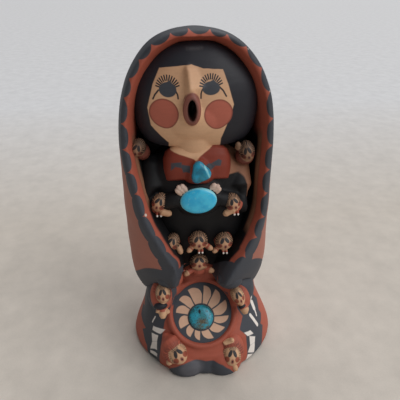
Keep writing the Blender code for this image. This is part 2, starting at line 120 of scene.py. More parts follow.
def solid(name, forms):
    """One object of closed forms, each given by its points in figure units and its faces."""
    work = bmesh.new()
    for points, faces in forms:
        corners = [work.verts.new(Vector(p) * FU) for p in points]
        for face in faces:
            work.faces.new([corners[i] for i in face])
    bmesh.ops.recalc_face_normals(work, faces=work.faces)
    mesh = bpy.data.meshes.new(name)
    work.to_mesh(mesh)
    work.free()
    thing = bpy.data.objects.new(name, mesh)
    bpy.context.scene.collection.objects.link(thing)
    return thing


def settle(thing):
    """Turn what the modifiers make into the mesh itself."""
    graph = bpy.context.evaluated_depsgraph_get()
    made = bpy.data.meshes.new_from_object(thing.evaluated_get(graph))
    thing.modifiers.clear()
    old, thing.data = thing.data, made
    bpy.data.meshes.remove(old)
    made.name = thing.name


def cut(thing, name, forms):
    """Hollow a piece with closed forms."""
    tool = solid(name, forms)
    hollow = thing.modifiers.new(name, "BOOLEAN")
    hollow.operation, hollow.solver, hollow.object = "DIFFERENCE", "EXACT", tool
    hollow.use_self = True
    settle(thing)
    bpy.data.objects.remove(tool, do_unlink=True)


def fuse(thing, voxel, rubs):
    """Run the forms of a piece together into one skin, as wet clay is, and rub it smooth."""
    together = thing.modifiers.new("run together", "REMESH")
    together.mode, together.voxel_size = "VOXEL", voxel * FU
    rubbed = thing.modifiers.new("rubbed", "SMOOTH")
    rubbed.factor, rubbed.iterations = 0.5, rubs
    settle(thing)
    thing.data.shade_smooth()


def points_of(thing):
    """Where a piece's points are, a row for each."""
    places = np.zeros(len(thing.data.vertices) * 3)
    thing.data.vertices.foreach_get("co", places)
    return places.reshape(-1, 3)


def put_points(thing, places):
    """Move a piece's points to new places."""
    thing.data.vertices.foreach_set("co", places.ravel())
    thing.data.update()


def work_by_hand(thing, depth, size, seed):
    """Leave the low swells and flats of fingers and scraping stones on a piece."""
    places = points_of(thing)
    normals = np.zeros(places.size)
    thing.data.vertex_normals.foreach_get("vector", normals)
    shift = Vector((seed * 7.3, seed * 3.1, seed * 5.7))
    swell = np.array([noise.noise(Vector(p) / (FU * size) + shift) for p in places])
    swell += 0.4 * np.array([noise.noise(Vector(p) / (FU * size * 0.4) + shift) for p in places])
    places = places + normals.reshape(-1, 3) * (swell * depth * FU)[:, None]
    places[:, 2] = np.maximum(places[:, 2], 0)
    put_points(thing, places)


def plan_power(z):
    return 2 / curve_through(SHAWL_SQUARENESS, z)


def crest_angle(z, side):
    share = (SHAWL_MIDDLE_DEPTH - curve_through(RIM_DEPTH, z)) / curve_through(SHAWL_FRONT, z)
    return np.arcsin(share ** (1 / plan_power(z))) - side * np.radians(curve_through(RIM_TURN, z))


def crest(z, side):
    """Where the rim's crest lies at a height, as x and y."""
    angle, power = crest_angle(z, side), plan_power(z)
    wide = curve_through(SHAWL_HALF_WIDTH, z) * np.cos(angle) ** power
    deep = curve_through(SHAWL_FRONT, z) * np.sin(angle) ** power
    return np.array((curve_through(SHAWL_MIDDLE, z) + side * wide, SHAWL_MIDDLE_DEPTH - deep))


def hem_lift(z, y):
    """The shawl's lower edge rises from the sides to the front."""
    share = np.clip((HEM_RISE_FROM - y) / HEM_RISE_RUN, 0, 1)
    level = np.clip((HEM_LEVEL_FROM - z) / (HEM_LEVEL_FROM - HEM_SIDE), 0, 1)
    return (HEM_FRONT - HEM_SIDE) * share * share * (3 - 2 * share) * level


def shawl_ring(z):
    """Level section: from the right crest round the back to the left one, then the rim's face."""
    half, back = curve_through(SHAWL_HALF_WIDTH, z), curve_through(SHAWL_BACK, z)
    front, power = curve_through(SHAWL_FRONT, z), plan_power(z)
    middle = curve_through(SHAWL_MIDDLE, z)
    ring = []
    for angle in np.linspace(-crest_angle(z, 1), np.pi + crest_angle(z, -1), SHAWL_SIDES):
        c, s = np.cos(angle), np.sin(angle)
        deep = back * s if s > 0 else -front * abs(s) ** power
        wide = half * np.sign(c) * (abs(c) ** power if s < 0 else abs(c))
        ring.append((middle + wide, SHAWL_MIDDLE_DEPTH + deep))
    left, right = crest(z, -1), crest(z, 1)
    for share, forward in RIM_FACE:
        x, y = left + (right - left) * share
        ring.append((x, y - forward))
    return [(x, y, z + hem_lift(z, y)) for x, y in ring]


def opening_side(side, inset, behind):
    """Half of the front opening's outline, up from the lap, inset from the crest and behind it."""
    heights = OPENING_LOW + (OPENING_HIGH - OPENING_LOW) * np.sin(
        np.linspace(0, np.pi / 2, OPENING_POINTS))
    places = [np.array((crest(z, side)[0], z)) for z in heights]
    middle = curve_through(SHAWL_MIDDLE, OPENING_HIGH)
    ring = []
    for i, place in enumerate(places):
        along = places[min(i + 1, len(places) - 1)] - places[max(i - 1, 0)]
        if i == len(places) - 1:
            along = np.array((-side, 0.0))
        inward = np.array((-along[1], along[0])) * side / np.linalg.norm(along)
        x, z = place + inset * inward
        ring.append((middle + side * max(side * (x - middle), OPENING_TIP),
                     crest(place[1], side)[1] + behind, z))
    return ring


levels = np.concatenate((np.arange(45, 200, 4.0), np.arange(200, 226, 2.5),
                         (227.5, 229.5, 231.2, 232.8, 234, 234.7, 235)))
shawl = solid("shawl", [lofted([shawl_ring(z) for z in levels])])
cut(shawl, "hollow", [lofted([opening_side(1, SHAWL_WALL * share, behind)
                              + opening_side(-1, SHAWL_WALL * share, behind)[::-1]
                              for share, behind in HOLLOW_STEPS])])
fuse(shawl, SHAWL_VOXEL, SHAWL_RUBS)
work_by_hand(shawl, depth=0.35, size=26, seed=1)

# The scalloped band on the rim. Ways along it count from the top of its left side, and ways across
# it are inward. The band's edges are given as the way along, the cusps there and the lobes there.
CUSPS = (-216, -200, -183, -166.4, -152.3, -135.6, -120.4, -106.0, -91.3, -75.2, -59.6, -48.2,
         -36.1, -25.3, -12.8, -1.2, 12.3, 22.9, 35.7, 50.8, 66.0, 82.5, 99.6, 116.4, 133.2, 150.5,
         165.9, 182.4, 196.6, 212, 228)
INNER_SCALLOP = ((-216, 5.5, 9.5), (-166, 4.8, 8.2), (-152, 4.2, 7.6), (-140, 1.8, 6.4),
                 (-120, 0.3, 5.3), (-84, -0.4, 5.2), (-67, -0.8, 3.6), (-50, -1.0, 2.7),
                 (50, -1.0, 2.7), (67, -0.9, 3.6), (84, -0.7, 4.8), (116, -0.5, 5.0),
                 (182, -0.8, 5.0), (215, -0.5, 6.0))
OUTER_SCALLOP = ((0, -25.0, -28.5), (60, -21.0, -24.0), (85, -13.0, -16.0), (98, -3.0, -5.5),
                 (126, -3.1, -6.0), (153, -4.7, -7.7), (172, -6.3, -9.3), (200, -8.0, -11.0))
OUTER_SHIFT = 0.2
RIM_STEP, RIM_EVENED = 0.5, 25
RIM_NEAR, RIM_FAR = 7, 12
RIM_INNER_FROM, RIM_WRAP, RIM_OUTSIDE = 0.6, 0.9, 0.95
HEART_X, HEART_LOW, HEART_HIGH, HEART_BEHIND = -3.5, 60, 185, 8


def store(thing, name, values, kind="FLOAT", field="value"):
    """Give every point of a piece a value that its paint can use."""
    thing.data.attributes.new(name, kind, "POINT").data.foreach_set(field, np.ravel(values))


def rim_coordinates(thing):
    """Store each point's way along the rim in scallops, its way across it, inward positive, and
    where the scallops' cusps and lobes lie across."""
    heights = np.concatenate((np.arange(44, 230, 1.0), np.arange(230, 235.1, 0.25)))
    left, right = (np.array([(*crest(z, side), z + hem_lift(z, crest(z, side)[1]))
                             for z in heights]) for side in (-1, 1))
    right = right[::-1]
    top = left[-1] + (right[0] - left[-1]) * np.linspace(0.04, 0.96, 24)[:, None]
    line = np.concatenate((left, top, right)) * FU
    steps = np.linalg.norm(np.diff(line, axis=0), axis=1)
    run = np.concatenate(((0,), np.cumsum(steps))) / FU
    run -= run[len(heights) - 1]
    even, ends = np.arange(run[0], run[-1], RIM_STEP), RIM_EVENED // 2
    line = np.stack([np.interp(even, run, line[:, i]) for i in range(3)], 1)
    line[ends:-ends, 1] = np.convolve(line[:, 1], np.ones(RIM_EVENED) / RIM_EVENED, "valid")
    tree = KDTree(len(line))
    for i, p in enumerate(line):
        tree.insert(p, i)
    tree.balance()
    along, across = [], []
    for vertex in thing.data.vertices:
        near, i, away = tree.find(vertex.co)
        ahead = Vector(line[min(i + 3, len(line) - 1)] - line[max(i - 3, 0)]).normalized()
        heart = Vector((HEART_X * FU, near.y, np.clip(near.z, HEART_LOW * FU, HEART_HIGH * FU)))
        inward = heart - near
        inward = (inward - ahead * inward.dot(ahead)).normalized()
        reach = vertex.co - near
        behind = max(reach.y, 0)
        if away < RIM_NEAR * FU:
            inner = reach.dot(inward) > RIM_INNER_FROM * behind
        else:
            inner = (heart + Vector((0, HEART_BEHIND * FU, 0)) - vertex.co).dot(vertex.normal) > 0
        along.append(even[i] + (reach.x * ahead.x + reach.z * ahead.z) / FU)
        level = reach.dot(inward) + (RIM_WRAP if inner else -RIM_WRAP) * behind
        if not inner and away >= RIM_FAR * FU:
            level = min(level, -RIM_OUTSIDE * away)
        across.append(level / FU)
    store(thing, "rim_lobe", np.interp(along, CUSPS, range(len(CUSPS))))
    store(thing, "rim_across", across)
    for name, table, way in (("inner", INNER_SCALLOP, along),
                             ("outer", OUTER_SCALLOP, np.abs(along))):
        way_along, cusps, lobes = zip(*table)
        store(thing, f"{name}_cusp", np.interp(way, way_along, cusps))
        store(thing, f"{name}_lobe", np.interp(way, way_along, lobes))


rim_coordinates(shawl)


class Mark:
    """A value, place or colour of a paint, worked out by shader nodes. Of two masks, & keeps
    where both lie and | where either does."""

    def __init__(self, tree, socket=None):
        self.tree, self.socket = tree, socket

    def node(self, kind, settings, sockets, output=0):
        """Add a node: its settings first, a ramp's stops among them, then its sockets."""
        made = self.tree.nodes.new("ShaderNode" + kind)
        for name, value in settings.items():
            if name == "stops":
                ramp = made.color_ramp.elements
                for i, (place, colour) in enumerate(value):
                    stop = ramp[i] if i < len(ramp) else ramp.new(place)
                    stop.position, stop.color = place, colour
            else:
                setattr(made, name, value)
        for name, value in sockets.items():
            if isinstance(value, Mark):
                self.tree.links.new(value.socket, made.inputs[name])
            else:
                made.inputs[name].default_value = value
        return Mark(self.tree, made.outputs[output] if len(made.outputs) else None)

    def math(self, operation, *values, clamp=False):
        settings = {"operation": operation, "use_clamp": clamp}
        return self.node("Math", settings, dict(enumerate(values)))

    def vector(self, operation, *values, output=0):
        return self.node("VectorMath", {"operation": operation}, dict(enumerate(values)), output)

    def __add__(self, other):
        return self.math("ADD", self, other)

    def __sub__(self, other):
        return self.math("SUBTRACT", self, other)

    def __rsub__(self, other):
        return self.math("SUBTRACT", other, self)

    def __mul__(self, other):
        return self.math("MULTIPLY", self, other)

    def __truediv__(self, other):
        return self.math("DIVIDE", self, other)

    def __pow__(self, other):
        return self.math("POWER", self, other)

    def __abs__(self):
        return self.math("ABSOLUTE", self)

    def __and__(self, other):
        return self.math("MINIMUM", self, other)

    def __or__(self, other):
        return self.math("MAXIMUM", self, other)

    __radd__ = __add__
    __rmul__ = __mul__

    def past(self, edge, soft=0.4):
        """0 below an edge and 1 above it, with a soft step between."""
        return self.math("MULTIPLY_ADD", self - edge, 1 / soft, 0.5, clamp=True)

    def short_of(self, edge, soft=0.4):
        return 1 - self.past(edge, soft)

    def part(self, i):
        return self.node("SeparateXYZ", {}, {0: self}, i)

    def stored(self, name, output="Fac"):
        return self.node("Attribute", {"attribute_name": name}, {}, output)

    def cloud(self, size, detail=2.0, output=0):
        """Noise about a place, with swells of a size in figure units."""
        return self.node("TexNoise", {}, {"Vector": self, "Scale": 1 / size, "Detail": detail},
                         output)

    def wavered(self, reach, size):
        """The place strayed a little, so that a shape drawn there has a brush's edge."""
        stray = self.vector("SUBTRACT", self.cloud(size, 1.0, "Color"), (0.5, 0.5, 0.5))
        return self.vector("MULTIPLY_ADD", stray, (reach * 2,) * 3, self)


def slip(red, green, blue):
    """A slip's colour, from screen values to the light it sends back."""
    shares = [v / 255 for v in (red, green, blue)]
    return (*[s / 12.92 if s < 0.04045 else ((s + 0.055) / 1.055) ** 2.4 for s in shares], 1.0)


def coated(ground, *coats):
    """Lay coats over a ground, each given by where it lies and its colour."""
    share, below, above, mixed = 0, 6, 7, 2
    for mask, colour in coats:
        ground = mask.node("Mix", {"data_type": "RGBA"},
                           {share: mask, below: ground, above: colour}, mixed)
    return ground


def bare_material(name):
    """A material with nothing in it yet, and the place on the piece in figure units."""
    material = bpy.data.materials.new(name)
    material.use_nodes = True
    material.node_tree.nodes.clear()
    place = Mark(material.node_tree).node("TexCoord", {}, {}, "Object")
    return material, place.node("VectorMath", {"operation": "SCALE"}, {0: place, "Scale": 1 / FU})


def surface(thing, material, place, sockets):
    """Finish a material with what its surface's sockets take, and put it on a piece."""
    skin = place.node("BsdfPrincipled", {}, sockets)
    place.node("OutputMaterial", {}, {"Surface": skin})
    thing.data.materials.clear()
    thing.data.materials.append(material)


def fired(thing, name, paint, rough=0.6, waver=0.25):
    """Fired clay under slip: the colours of a paint, cloudy from firing and handling, streaked by
    the brush, over the fine grain of the scraped wall."""
    material, place = bare_material(name)
    colour = paint(place.wavered(waver, 4.0))
    clouds, grain = place.cloud(24, 3.0), place.cloud(1.3, 3.0)
    streaks = place.vector("MULTIPLY", place, (0.22, 0.22, 1.5)).cloud(2.2, 2.0)
    shade = 0.74 + clouds * 0.26 + streaks * 0.14 + grain * 0.12
    colour = colour.node("VectorMath", {"operation": "SCALE"}, {0: colour, "Scale": shade})
    bump = place.node("Bump", {}, {"Strength": 0.6, "Distance": 0.09 * FU,
                                   "Height": grain + streaks * 0.7})
    surface(thing, material, place, {
        "Base Color": colour, "Roughness": rough - 0.08 + streaks * 0.1 + clouds * 0.08,
        "Normal": bump, "Specular IOR Level": 0.35})
    return material


TERRACOTTA, CHARCOAL = slip(166, 85, 66), slip(66, 69, 76)
# The shell's outside is the terracotta painted paler and pinker: a painted sheen over it.
SHEEN_PALED_SHELL, INNER_WALL = slip(166, 106, 90), slip(150, 105, 80)
BLACK, CROWN_SHADE, CHIPPED = slip(13, 13, 16), slip(40, 41, 47), slip(210, 196, 184)
LOBE_ROUNDNESS = 0.55
HEM_BAND, HEM_BAND_RISE, HEM_BAND_SLOPE = 64.2, 21, 0.045
# Across the rim: where its face begins, and where the hollow and the wall's bare strip lie.
FACE_FROM, HOLLOW_FROM, STRIP_TO = -1.0, 11.0, 17
HOLLOW_TOP, STRIP_FROM, STRIP_LOWER = 172, 130, 24
FRONT_ENDS_TOP, FRONT_ENDS_FROM, CROWN_FROM = 80, -24, 222
# Small chips in the rim: place and radius.
CHIPS = (((-38.1, -28.2, 126.4), 0.9), ((25.8, -14.2, 225.0), 0.7), ((39.9, -15.2, 200.6), 0.6))


def scallop(place, edge, shift):
    """How far across the rim a scalloped edge lies."""
    share = place.math("FRACT", place.stored("rim_lobe") + shift) * 2 - 1
    bulge = (1 - share * share) ** LOBE_ROUNDNESS
    cusp = place.stored(f"{edge}_cusp")
    return cusp + (place.stored(f"{edge}_lobe") - cusp) * bulge


def shawl_paint(place):
    across = place.stored("rim_across")
    x, y, z = (place.part(i) for i in range(3))
    share = (HEM_RISE_FROM - y) / HEM_RISE_RUN
    share = share.math("MULTIPLY", share, 1.0, clamp=True)
    hem = z - share * share * (3 - 2 * share) * HEM_BAND_RISE - x * HEM_BAND_SLOPE
    rim = (across.short_of(scallop(place, "inner", 0), 0.5)
           & across.past(scallop(place, "outer", OUTER_SHIFT), 0.5))
    # Painted shade: the wall deep inside the shawl, past the rim's face, is painted black up to
    # HOLLOW_TOP.
    hollow = across.past(HOLLOW_FROM, 2.5) & z.short_of(HOLLOW_TOP, 8)
    strip = (hollow & across.short_of(STRIP_TO, 3)
             & (z + x.past(0) * STRIP_LOWER).past(STRIP_FROM, 6))
    ends = z.short_of(FRONT_ENDS_TOP, 1.0) & y.short_of(FRONT_ENDS_FROM, 2.0)
    chips = [(place.vector("DISTANCE", place, spot, output=1).short_of(size), CHIPPED)
             for spot, size in CHIPS]
    # Painted shade: the charcoal band over the crown is painted darker.
    return coated(SHEEN_PALED_SHELL, (across.past(FACE_FROM, 1.0), TERRACOTTA), (hollow, BLACK),
                  (strip, INNER_WALL), (rim | hem.short_of(HEM_BAND, 0.6) | ends, CHARCOAL),
                  (rim & z.past(CROWN_FROM, 8) * 0.6, CROWN_SHADE), *chips)


fired(shawl, "shawl_slip", shawl_paint)
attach(shawl, "root")
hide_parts("clay_figure")

# The skirt and the drum.
# The foot of the robe flares to the table. Her lap runs forward over two round toes, and carries a
# small drum that leans back, whose rim is a roll of clay. All is pinched from one lump.
BASE_HALF_WIDTH = ((0, 55.8), (2, 57.0), (6, 56.4), (13, 54.2), (21, 50.8), (30, 46.8), (38, 43.8),
                   (46, 42.0), (56, 41.0))
BASE_BACK = ((0, 52.0), (2, 53.0), (6, 52.4), (13, 50.4), (21, 47.8), (30, 45.0), (38, 42.8),
             (46, 41.0), (56, 38.0))
BASE_FRONT = ((0, 51.0), (2, 52.0), (6, 51.4), (13, 49.4), (21, 45.5), (30, 37.0), (38, 29.0),
              (46, 21.0), (56, 12.0))
BASE_SQUARENESS = ((0, 1.85), (13, 1.9), (40, 3.0))
BASE_SIDEWAYS = ((0, 0.9), (21, 0.9), (38, 0))
DISC_MIDDLE = (-1.4, -28.0, 39.7)
DISC_TILT = np.radians(44.0)
DISC_FACING = (0.02, -np.cos(DISC_TILT), np.sin(DISC_TILT))
DISC_RADIUS, DISC_RIM_WIDTH, DISC_RECESS = 22.0, 3.8, 1.0
# Pressing in the drum's face: how deep, how steep at its edge, from what height, and how far out.
PRESSED_BELOW, PRESSED_SLOPE, PRESSED_FROM = 0.7, 1.7, 9
PRESSED_FLAT_TO, PRESSED_TO = DISC_RADIUS - 0.4, DISC_RADIUS + 1.6
# Down the drum's roll and side: how far out from its edge, and how far behind its front.
DRUM_EDGE = DISC_RADIUS + DISC_RIM_WIDTH
DRUM_ROLL = ((-DISC_RIM_WIDTH, DISC_RECESS), (-DISC_RIM_WIDTH * 0.85, -0.6),
             (-DISC_RIM_WIDTH * 0.4, -1.3), (0, -0.6), (0.7, 1.0), (0.9, 3.0), (1.5, 8), (-4, 20))
BASE_LEVELS = (0, 0.8, 2, 4, 6, 9, 13, 17, 21, 25, 30, 34, 38, 42, 46, 51, 56)
# Heights, half widths and reaches forward of her lap and of the robe's front.
LAP_MIDDLE, LAP_BACK, FRONT_MIDDLE, FRONT_BACK = (-2.0, 2), 8, (-3.5, -20), 20
LAP = ((48, 20, 22), (53, 20, 17.5), (58, 19.5, 14.6), (63, 18, 13.6), (68, 14, 13.4), (72, 9, 12))
FRONT = ((0, 37, 28), (8, 37.0, 29.4), (15, 35.0, 29.2), (24, 32.0, 22), (38, 30, 8.5), (46, 27, 1))
HIPS, HIP_RADII = ((-28.5, -12.4, 48.3), (26.0, -12.4, 48.3)), (14.0, 17.6, 14.7)
KNEES, KNEE_RADII = ((-24.5, -24.0, 70.5), (18.5, -25.5, 68.5)), (9.5, 7.5, 8.0)
# The toes' middles and half widths, and the share of their size at each height.
TOES, TOE_DEPTH = ((-14.5, -40.8, 15.0), (12.5, -41.6, 14.6)), 13
TOE_LEVELS = ((0, 0.96), (1.2, 0.99), (3, 1.0), (8, 0.97), (12.5, 0.82), (15, 0.62), (16.6, 0.4),
              (17.2, 0.15))


def oval_ring(middle, half_width, front, back, sides, squareness=2.0):
    """Level ring: half_width to each side, front toward -Y and back toward +Y."""
    ring = []
    for angle in 2 * np.pi * np.arange(sides) / sides:
        c, s = np.cos(angle), np.sin(angle)
        deep = back if s > 0 else front
        ring.append((middle[0] + half_width * np.sign(c) * abs(c) ** (2 / squareness),
                     middle[1] + deep * np.sign(s) * abs(s) ** (2 / squareness), middle[2]))
    return ring


def frame_for(facing, up=(0, 0, 1)):
    """Turns +X right, +Y up and +Z out of the face that looks along facing."""
    out = Vector(facing).normalized()
    right = Vector(up).cross(out).normalized()
    return Matrix((right, out.cross(right), out)).transposed()


def ball(middle, radii, turn, rows=16, sides=24):
    """Squashed ball: radii along the turned right, up and out."""
    rings = []
    for lift in np.pi * (np.arange(rows) + 0.5) / rows:
        rings.append([Vector(middle) + turn @ Vector((radii[0] * np.sin(lift) * np.cos(a),
                                                      radii[1] * np.cos(lift),
                                                      radii[2] * np.sin(lift) * np.sin(a)))
                      for a in 2 * np.pi * np.arange(sides) / sides])
    return lofted(rings)


def limb(path, radii, sides=16):
    """Round tapered limb along a path of points, with rounded ends."""
    places = [Vector(p) for p in path]
    ahead = (places[1] - places[0]).normalized() * radii[0]
    after = (places[-1] - places[-2]).normalized() * radii[-1]
    places = [places[0] - ahead * 0.8, *places, places[-1] + after * 0.8]
    radii = (radii[0] * 0.55, *radii, radii[-1] * 0.55)
    rings = []
    for i, place in enumerate(places):
        along = (places[min(i + 1, len(places) - 1)] - places[max(i - 1, 0)]).normalized()
        side = along.cross(Vector((0.31, 0.17, 0.93))).normalized()
        other = along.cross(side)
        rings.append([place + (side * np.cos(a) + other * np.sin(a)) * radii[i]
                      for a in 2 * np.pi * np.arange(sides) / sides])
    return lofted(rings)


def disc_ring(radius, behind, sides=72):
    turn = frame_for(DISC_FACING)
    return [Vector(DISC_MIDDLE) + turn @ Vector((radius * np.cos(a), radius * np.sin(a), -behind))
            for a in 2 * np.pi * np.arange(sides) / sides]


UPRIGHT = frame_for((0, -1, 0))
skirt = solid("skirt_and_drum", [
    lofted([oval_ring((curve_through(BASE_SIDEWAYS, z), 0, z),
                      curve_through(BASE_HALF_WIDTH, z) - curve_through(BASE_SIDEWAYS, z),
                      curve_through(BASE_FRONT, z), curve_through(BASE_BACK, z), sides=96,
                      squareness=curve_through(BASE_SQUARENESS, z))
            for z in BASE_LEVELS]),
    lofted([disc_ring(DRUM_EDGE + out, behind) for out, behind in DRUM_ROLL]),
    lofted([oval_ring((*LAP_MIDDLE, z), wide, front, LAP_BACK, sides=40, squareness=2.3)
            for z, wide, front in LAP]),
    lofted([oval_ring((*FRONT_MIDDLE, z), wide, front, FRONT_BACK, sides=60, squareness=2.7)
            for z, wide, front in FRONT]),
    *[ball(place, HIP_RADII, UPRIGHT) for place in HIPS],
    *[ball(place, KNEE_RADII, Matrix.Identity(3)) for place in KNEES],
    *[lofted([oval_ring((x, y, z), wide * share, TOE_DEPTH * share, TOE_DEPTH * share, sides=40)
              for z, share in TOE_LEVELS]) for x, y, wide in TOES],
])
fuse(skirt, voxel=0.75, rubs=6)
work_by_hand(skirt, depth=0.3, size=18, seed=2)


def press_recess(thing):
    """Press the drum's face flat within its rim."""
    turn = np.array(frame_for(DISC_FACING))
    local = (points_of(thing) / FU - DISC_MIDDLE) @ turn
    away = np.hypot(local[:, 0], local[:, 1])
    deepest = np.maximum(away - PRESSED_FLAT_TO, 0) * PRESSED_SLOPE - DISC_RECESS - PRESSED_BELOW
    proud = (away < PRESSED_TO) & (local[:, 2] > deepest) & (local[:, 2] < PRESSED_FROM)
    local[proud, 2] = deepest[proud]
    put_points(thing, (local @ turn.T + DISC_MIDDLE) * FU)


press_recess(skirt)

WHITE, TOE_HIGHLIGHT = slip(232, 224, 216), slip(92, 92, 98)
# Places on the robe's foot, as degrees round from the front and heights.
LEFT_PANEL = ((-120, 62), (-103, 34), (-99, 30), (-83, 29), (-92, 25), (-84, 20), (-66, 19),
              (-71, 15), (-59, 7), (-56, -2), (-42, -2), (-41, 14), (-46, 34), (-40, 62))
RIGHT_PANEL = ((40, 62), (45, 34), (36, 27), (40, 22), (38, 8), (35, -2), (56, -2), (60, 8),
               (66, 15), (63, 19), (70, 24), (68, 29), (74, 36), (70, 42), (76, 62))
# The hem in front, as heights and degrees.
FRONT_HEM = ((-9, 22), (-9, -33), (3, -31), (8, -26), (11, -21), (13.2, -15), (14, -9),
             (12, -1), (12.4, 6), (10.5, 12), (6.5, 17), (1, 21))
WHITE_SHAPES = (
    ((-56.3, 26.8), (-42.7, 28.6), (-45.6, 24.5), (-56.2, 23.3)),
    ((-56.1, 20.9), (-47.9, 22.6), (-48.2, 17.2), (-53.8, 14.2)),
    ((-53.8, 14.2), (-48.2, 17.2), (-45.7, 11.5), (-54.5, 7.4)),
    ((-54.1, 6.2), (-44.4, 8.8), (-45.6, 4.4), (-54.0, 3.9)),
    ((39.0, 24.0), (46.2, 23.1), (49.2, 18.6), (41.8, 20.2)),
    ((43.7, 19.2), (50.6, 15.1), (48.5, 11.0), (42.5, 11.8)),
    ((42.5, 11.8), (48.5, 11.0), (45.8, 3.0), (38.5, 7.6)),
    ((38.2, 6.0), (44.6, 2.6), (42.0, 0.9), (35.6, 1.4)),
)
# White brush lines: start, end and width.
WHITE_LINES = (((-57.6, 33.6), (-58.6, 29.0), 1.3), ((58.8, 46.0), (61.4, 41.5), 2.4),
               ((62.4, 39.0), (61.4, 34.0), 3.6), ((61.4, 33.0), (60.6, 28.2), 1.6),
               ((53.4, 31.8), (57.2, 21.8), 3.0))
LAP_FROM, LAP_HALF_WIDTH = 50, 20
KNEES_MIDDLE, KNEES_FROM, KNEES_LOW, KNEES_FRONT = -6.4, 15.9, 57, -14
# A painted highlight: a paler grey spot on the charcoal of her right toe.
TOE_HIGHLIGHT_MIDDLE, TOE_HIGHLIGHT_RADII = (-12, 8), (9, 6.5)


def within(across, up, corners, soft=0.5):
    """How far a spot lies inside a convex outline."""
    middle = np.mean(corners, 0)
    inside = None
    for (x0, z0), (x1, z1) in zip(corners, corners[1:] + corners[:1]):
        face = np.array((z1 - z0, x0 - x1)) / np.hypot(x1 - x0, z1 - z0)
        face = face * np.sign(np.dot(np.array((x0, z0)) - middle, face))
        side = across.math("MULTIPLY_ADD", across, -face[0], float(np.dot(face, (x0, z0))))
        side = up.math("MULTIPLY_ADD", up, -face[1], side)
        inside = side if inside is None else inside & side
    return inside.past(0, soft)


def line(across, up, start, end, width, soft=0.4):
    """A brushed line with round ends."""
    run, rise = end[0] - start[0], end[1] - start[1]
    length = run * run + rise * rise
    share = across * (run / length) + up * (rise / length)
    share = share.math("SUBTRACT", share, (start[0] * run + start[1] * rise) / length, clamp=True)
    away_x, away_z = across - start[0] - share * run, up - start[1] - share * rise
    return ((away_x * away_x + away_z * away_z) ** 0.5).short_of(width / 2, soft)


def oval(across, up, middle, radii, soft=0.4):
    """A spot with an oval outline."""
    away_x, away_z = (across - middle[0]) / radii[0], (up - middle[1]) / radii[1]
    return ((away_x * away_x + away_z * away_z) ** 0.5).short_of(1, soft / min(radii))


def between_edges(across, up, outline, soft=0.8):
    """A shape with one left and one right edge at each height, its outline given down the left
    edge and up the right one."""
    lowest = min(z for _, z in outline)
    highest = max(z for _, z in outline)
    turn = [i for i, (_, z) in enumerate(outline) if z == lowest]
    edges = outline[:turn[0] + 1], outline[turn[-1]:][::-1]
    height = (up - lowest) / (highest - lowest)
    sides = []
    for edge in edges:
        stops = [((z - lowest) / (highest - lowest), ((a + 180) / 360,) * 3 + (1,))
                 for a, z in sorted(edge, key=lambda p: p[1])]
        sides.append(height.node("ValToRGB", {"stops": stops}, {0: height}) * 360 - 180)
    return (across - sides[0] & sides[1] - across).past(0, soft)


def any_of(masks):
    """Where at least one of some shapes lies."""
    found, *others = masks
    for mask in others:
        found = found | mask
    return found


def skirt_paint(place):
    x, y, z = (place.part(i) for i in range(3))
    angle = x.math("ARCTAN2", x, y * -1) * float(np.degrees(1))
    dark = (between_edges(angle, z, LEFT_PANEL) | between_edges(angle, z, RIGHT_PANEL)
            | between_edges(z, angle, FRONT_HEM))
    dark = dark & (z.short_of(LAP_FROM, 1.0) | abs(x).past(LAP_HALF_WIDTH, 0.8))
    whites = any_of([*[within(angle, z, shape) for shape in WHITE_SHAPES],
                     *[line(angle, z, *stroke) for stroke in WHITE_LINES]])
    # Charcoal on the knees, where the shawl's dark ends lie, which also paints shade on the skirt
    # just below.
    knees = (abs(x - KNEES_MIDDLE).past(KNEES_FROM, 0.8) & z.past(KNEES_LOW, 0.8)
             & y.short_of(KNEES_FRONT, 2.0))
    toe_highlight = oval(angle, z, TOE_HIGHLIGHT_MIDDLE, TOE_HIGHLIGHT_RADII, 3.0)
    return coated(TERRACOTTA, (dark, CHARCOAL), (dark & toe_highlight, TOE_HIGHLIGHT), (whites, WHITE),
                  (knees, CHARCOAL))


fired(skirt, "skirt_slip", skirt_paint)
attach(skirt, "root")
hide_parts("clay_figure")

# The drum's head.
# The sunk face of the drum, slipped charcoal and painted by hand with twelve tan petals that turn
# round the stone.
STONE_DROP = (-1.3, -3.6)
PETAL_TIPS = (0, 31, 58.5, 81, 114, 140, 167, 206, 238, 264, 300, 335)
PETAL_FROM, PETAL_TO, PETAL_GAP, PETAL_BOW = 10.1, 19.8, 1.0, 2.6
PETALS_RISE = -0.3
PETAL = slip(216, 175, 147)
# Radii of the painted face, and how far each lies behind the drum's front.
DRUM_FACE = ((22.8, 2.6), (22.8, 0.95), (21.5, 0.85), (12, 0.78), (2, 0.75))
drum_head = solid("drum_head", [lofted([disc_ring(*ring) for ring in DRUM_FACE])])
drum_head.data.shade_smooth()


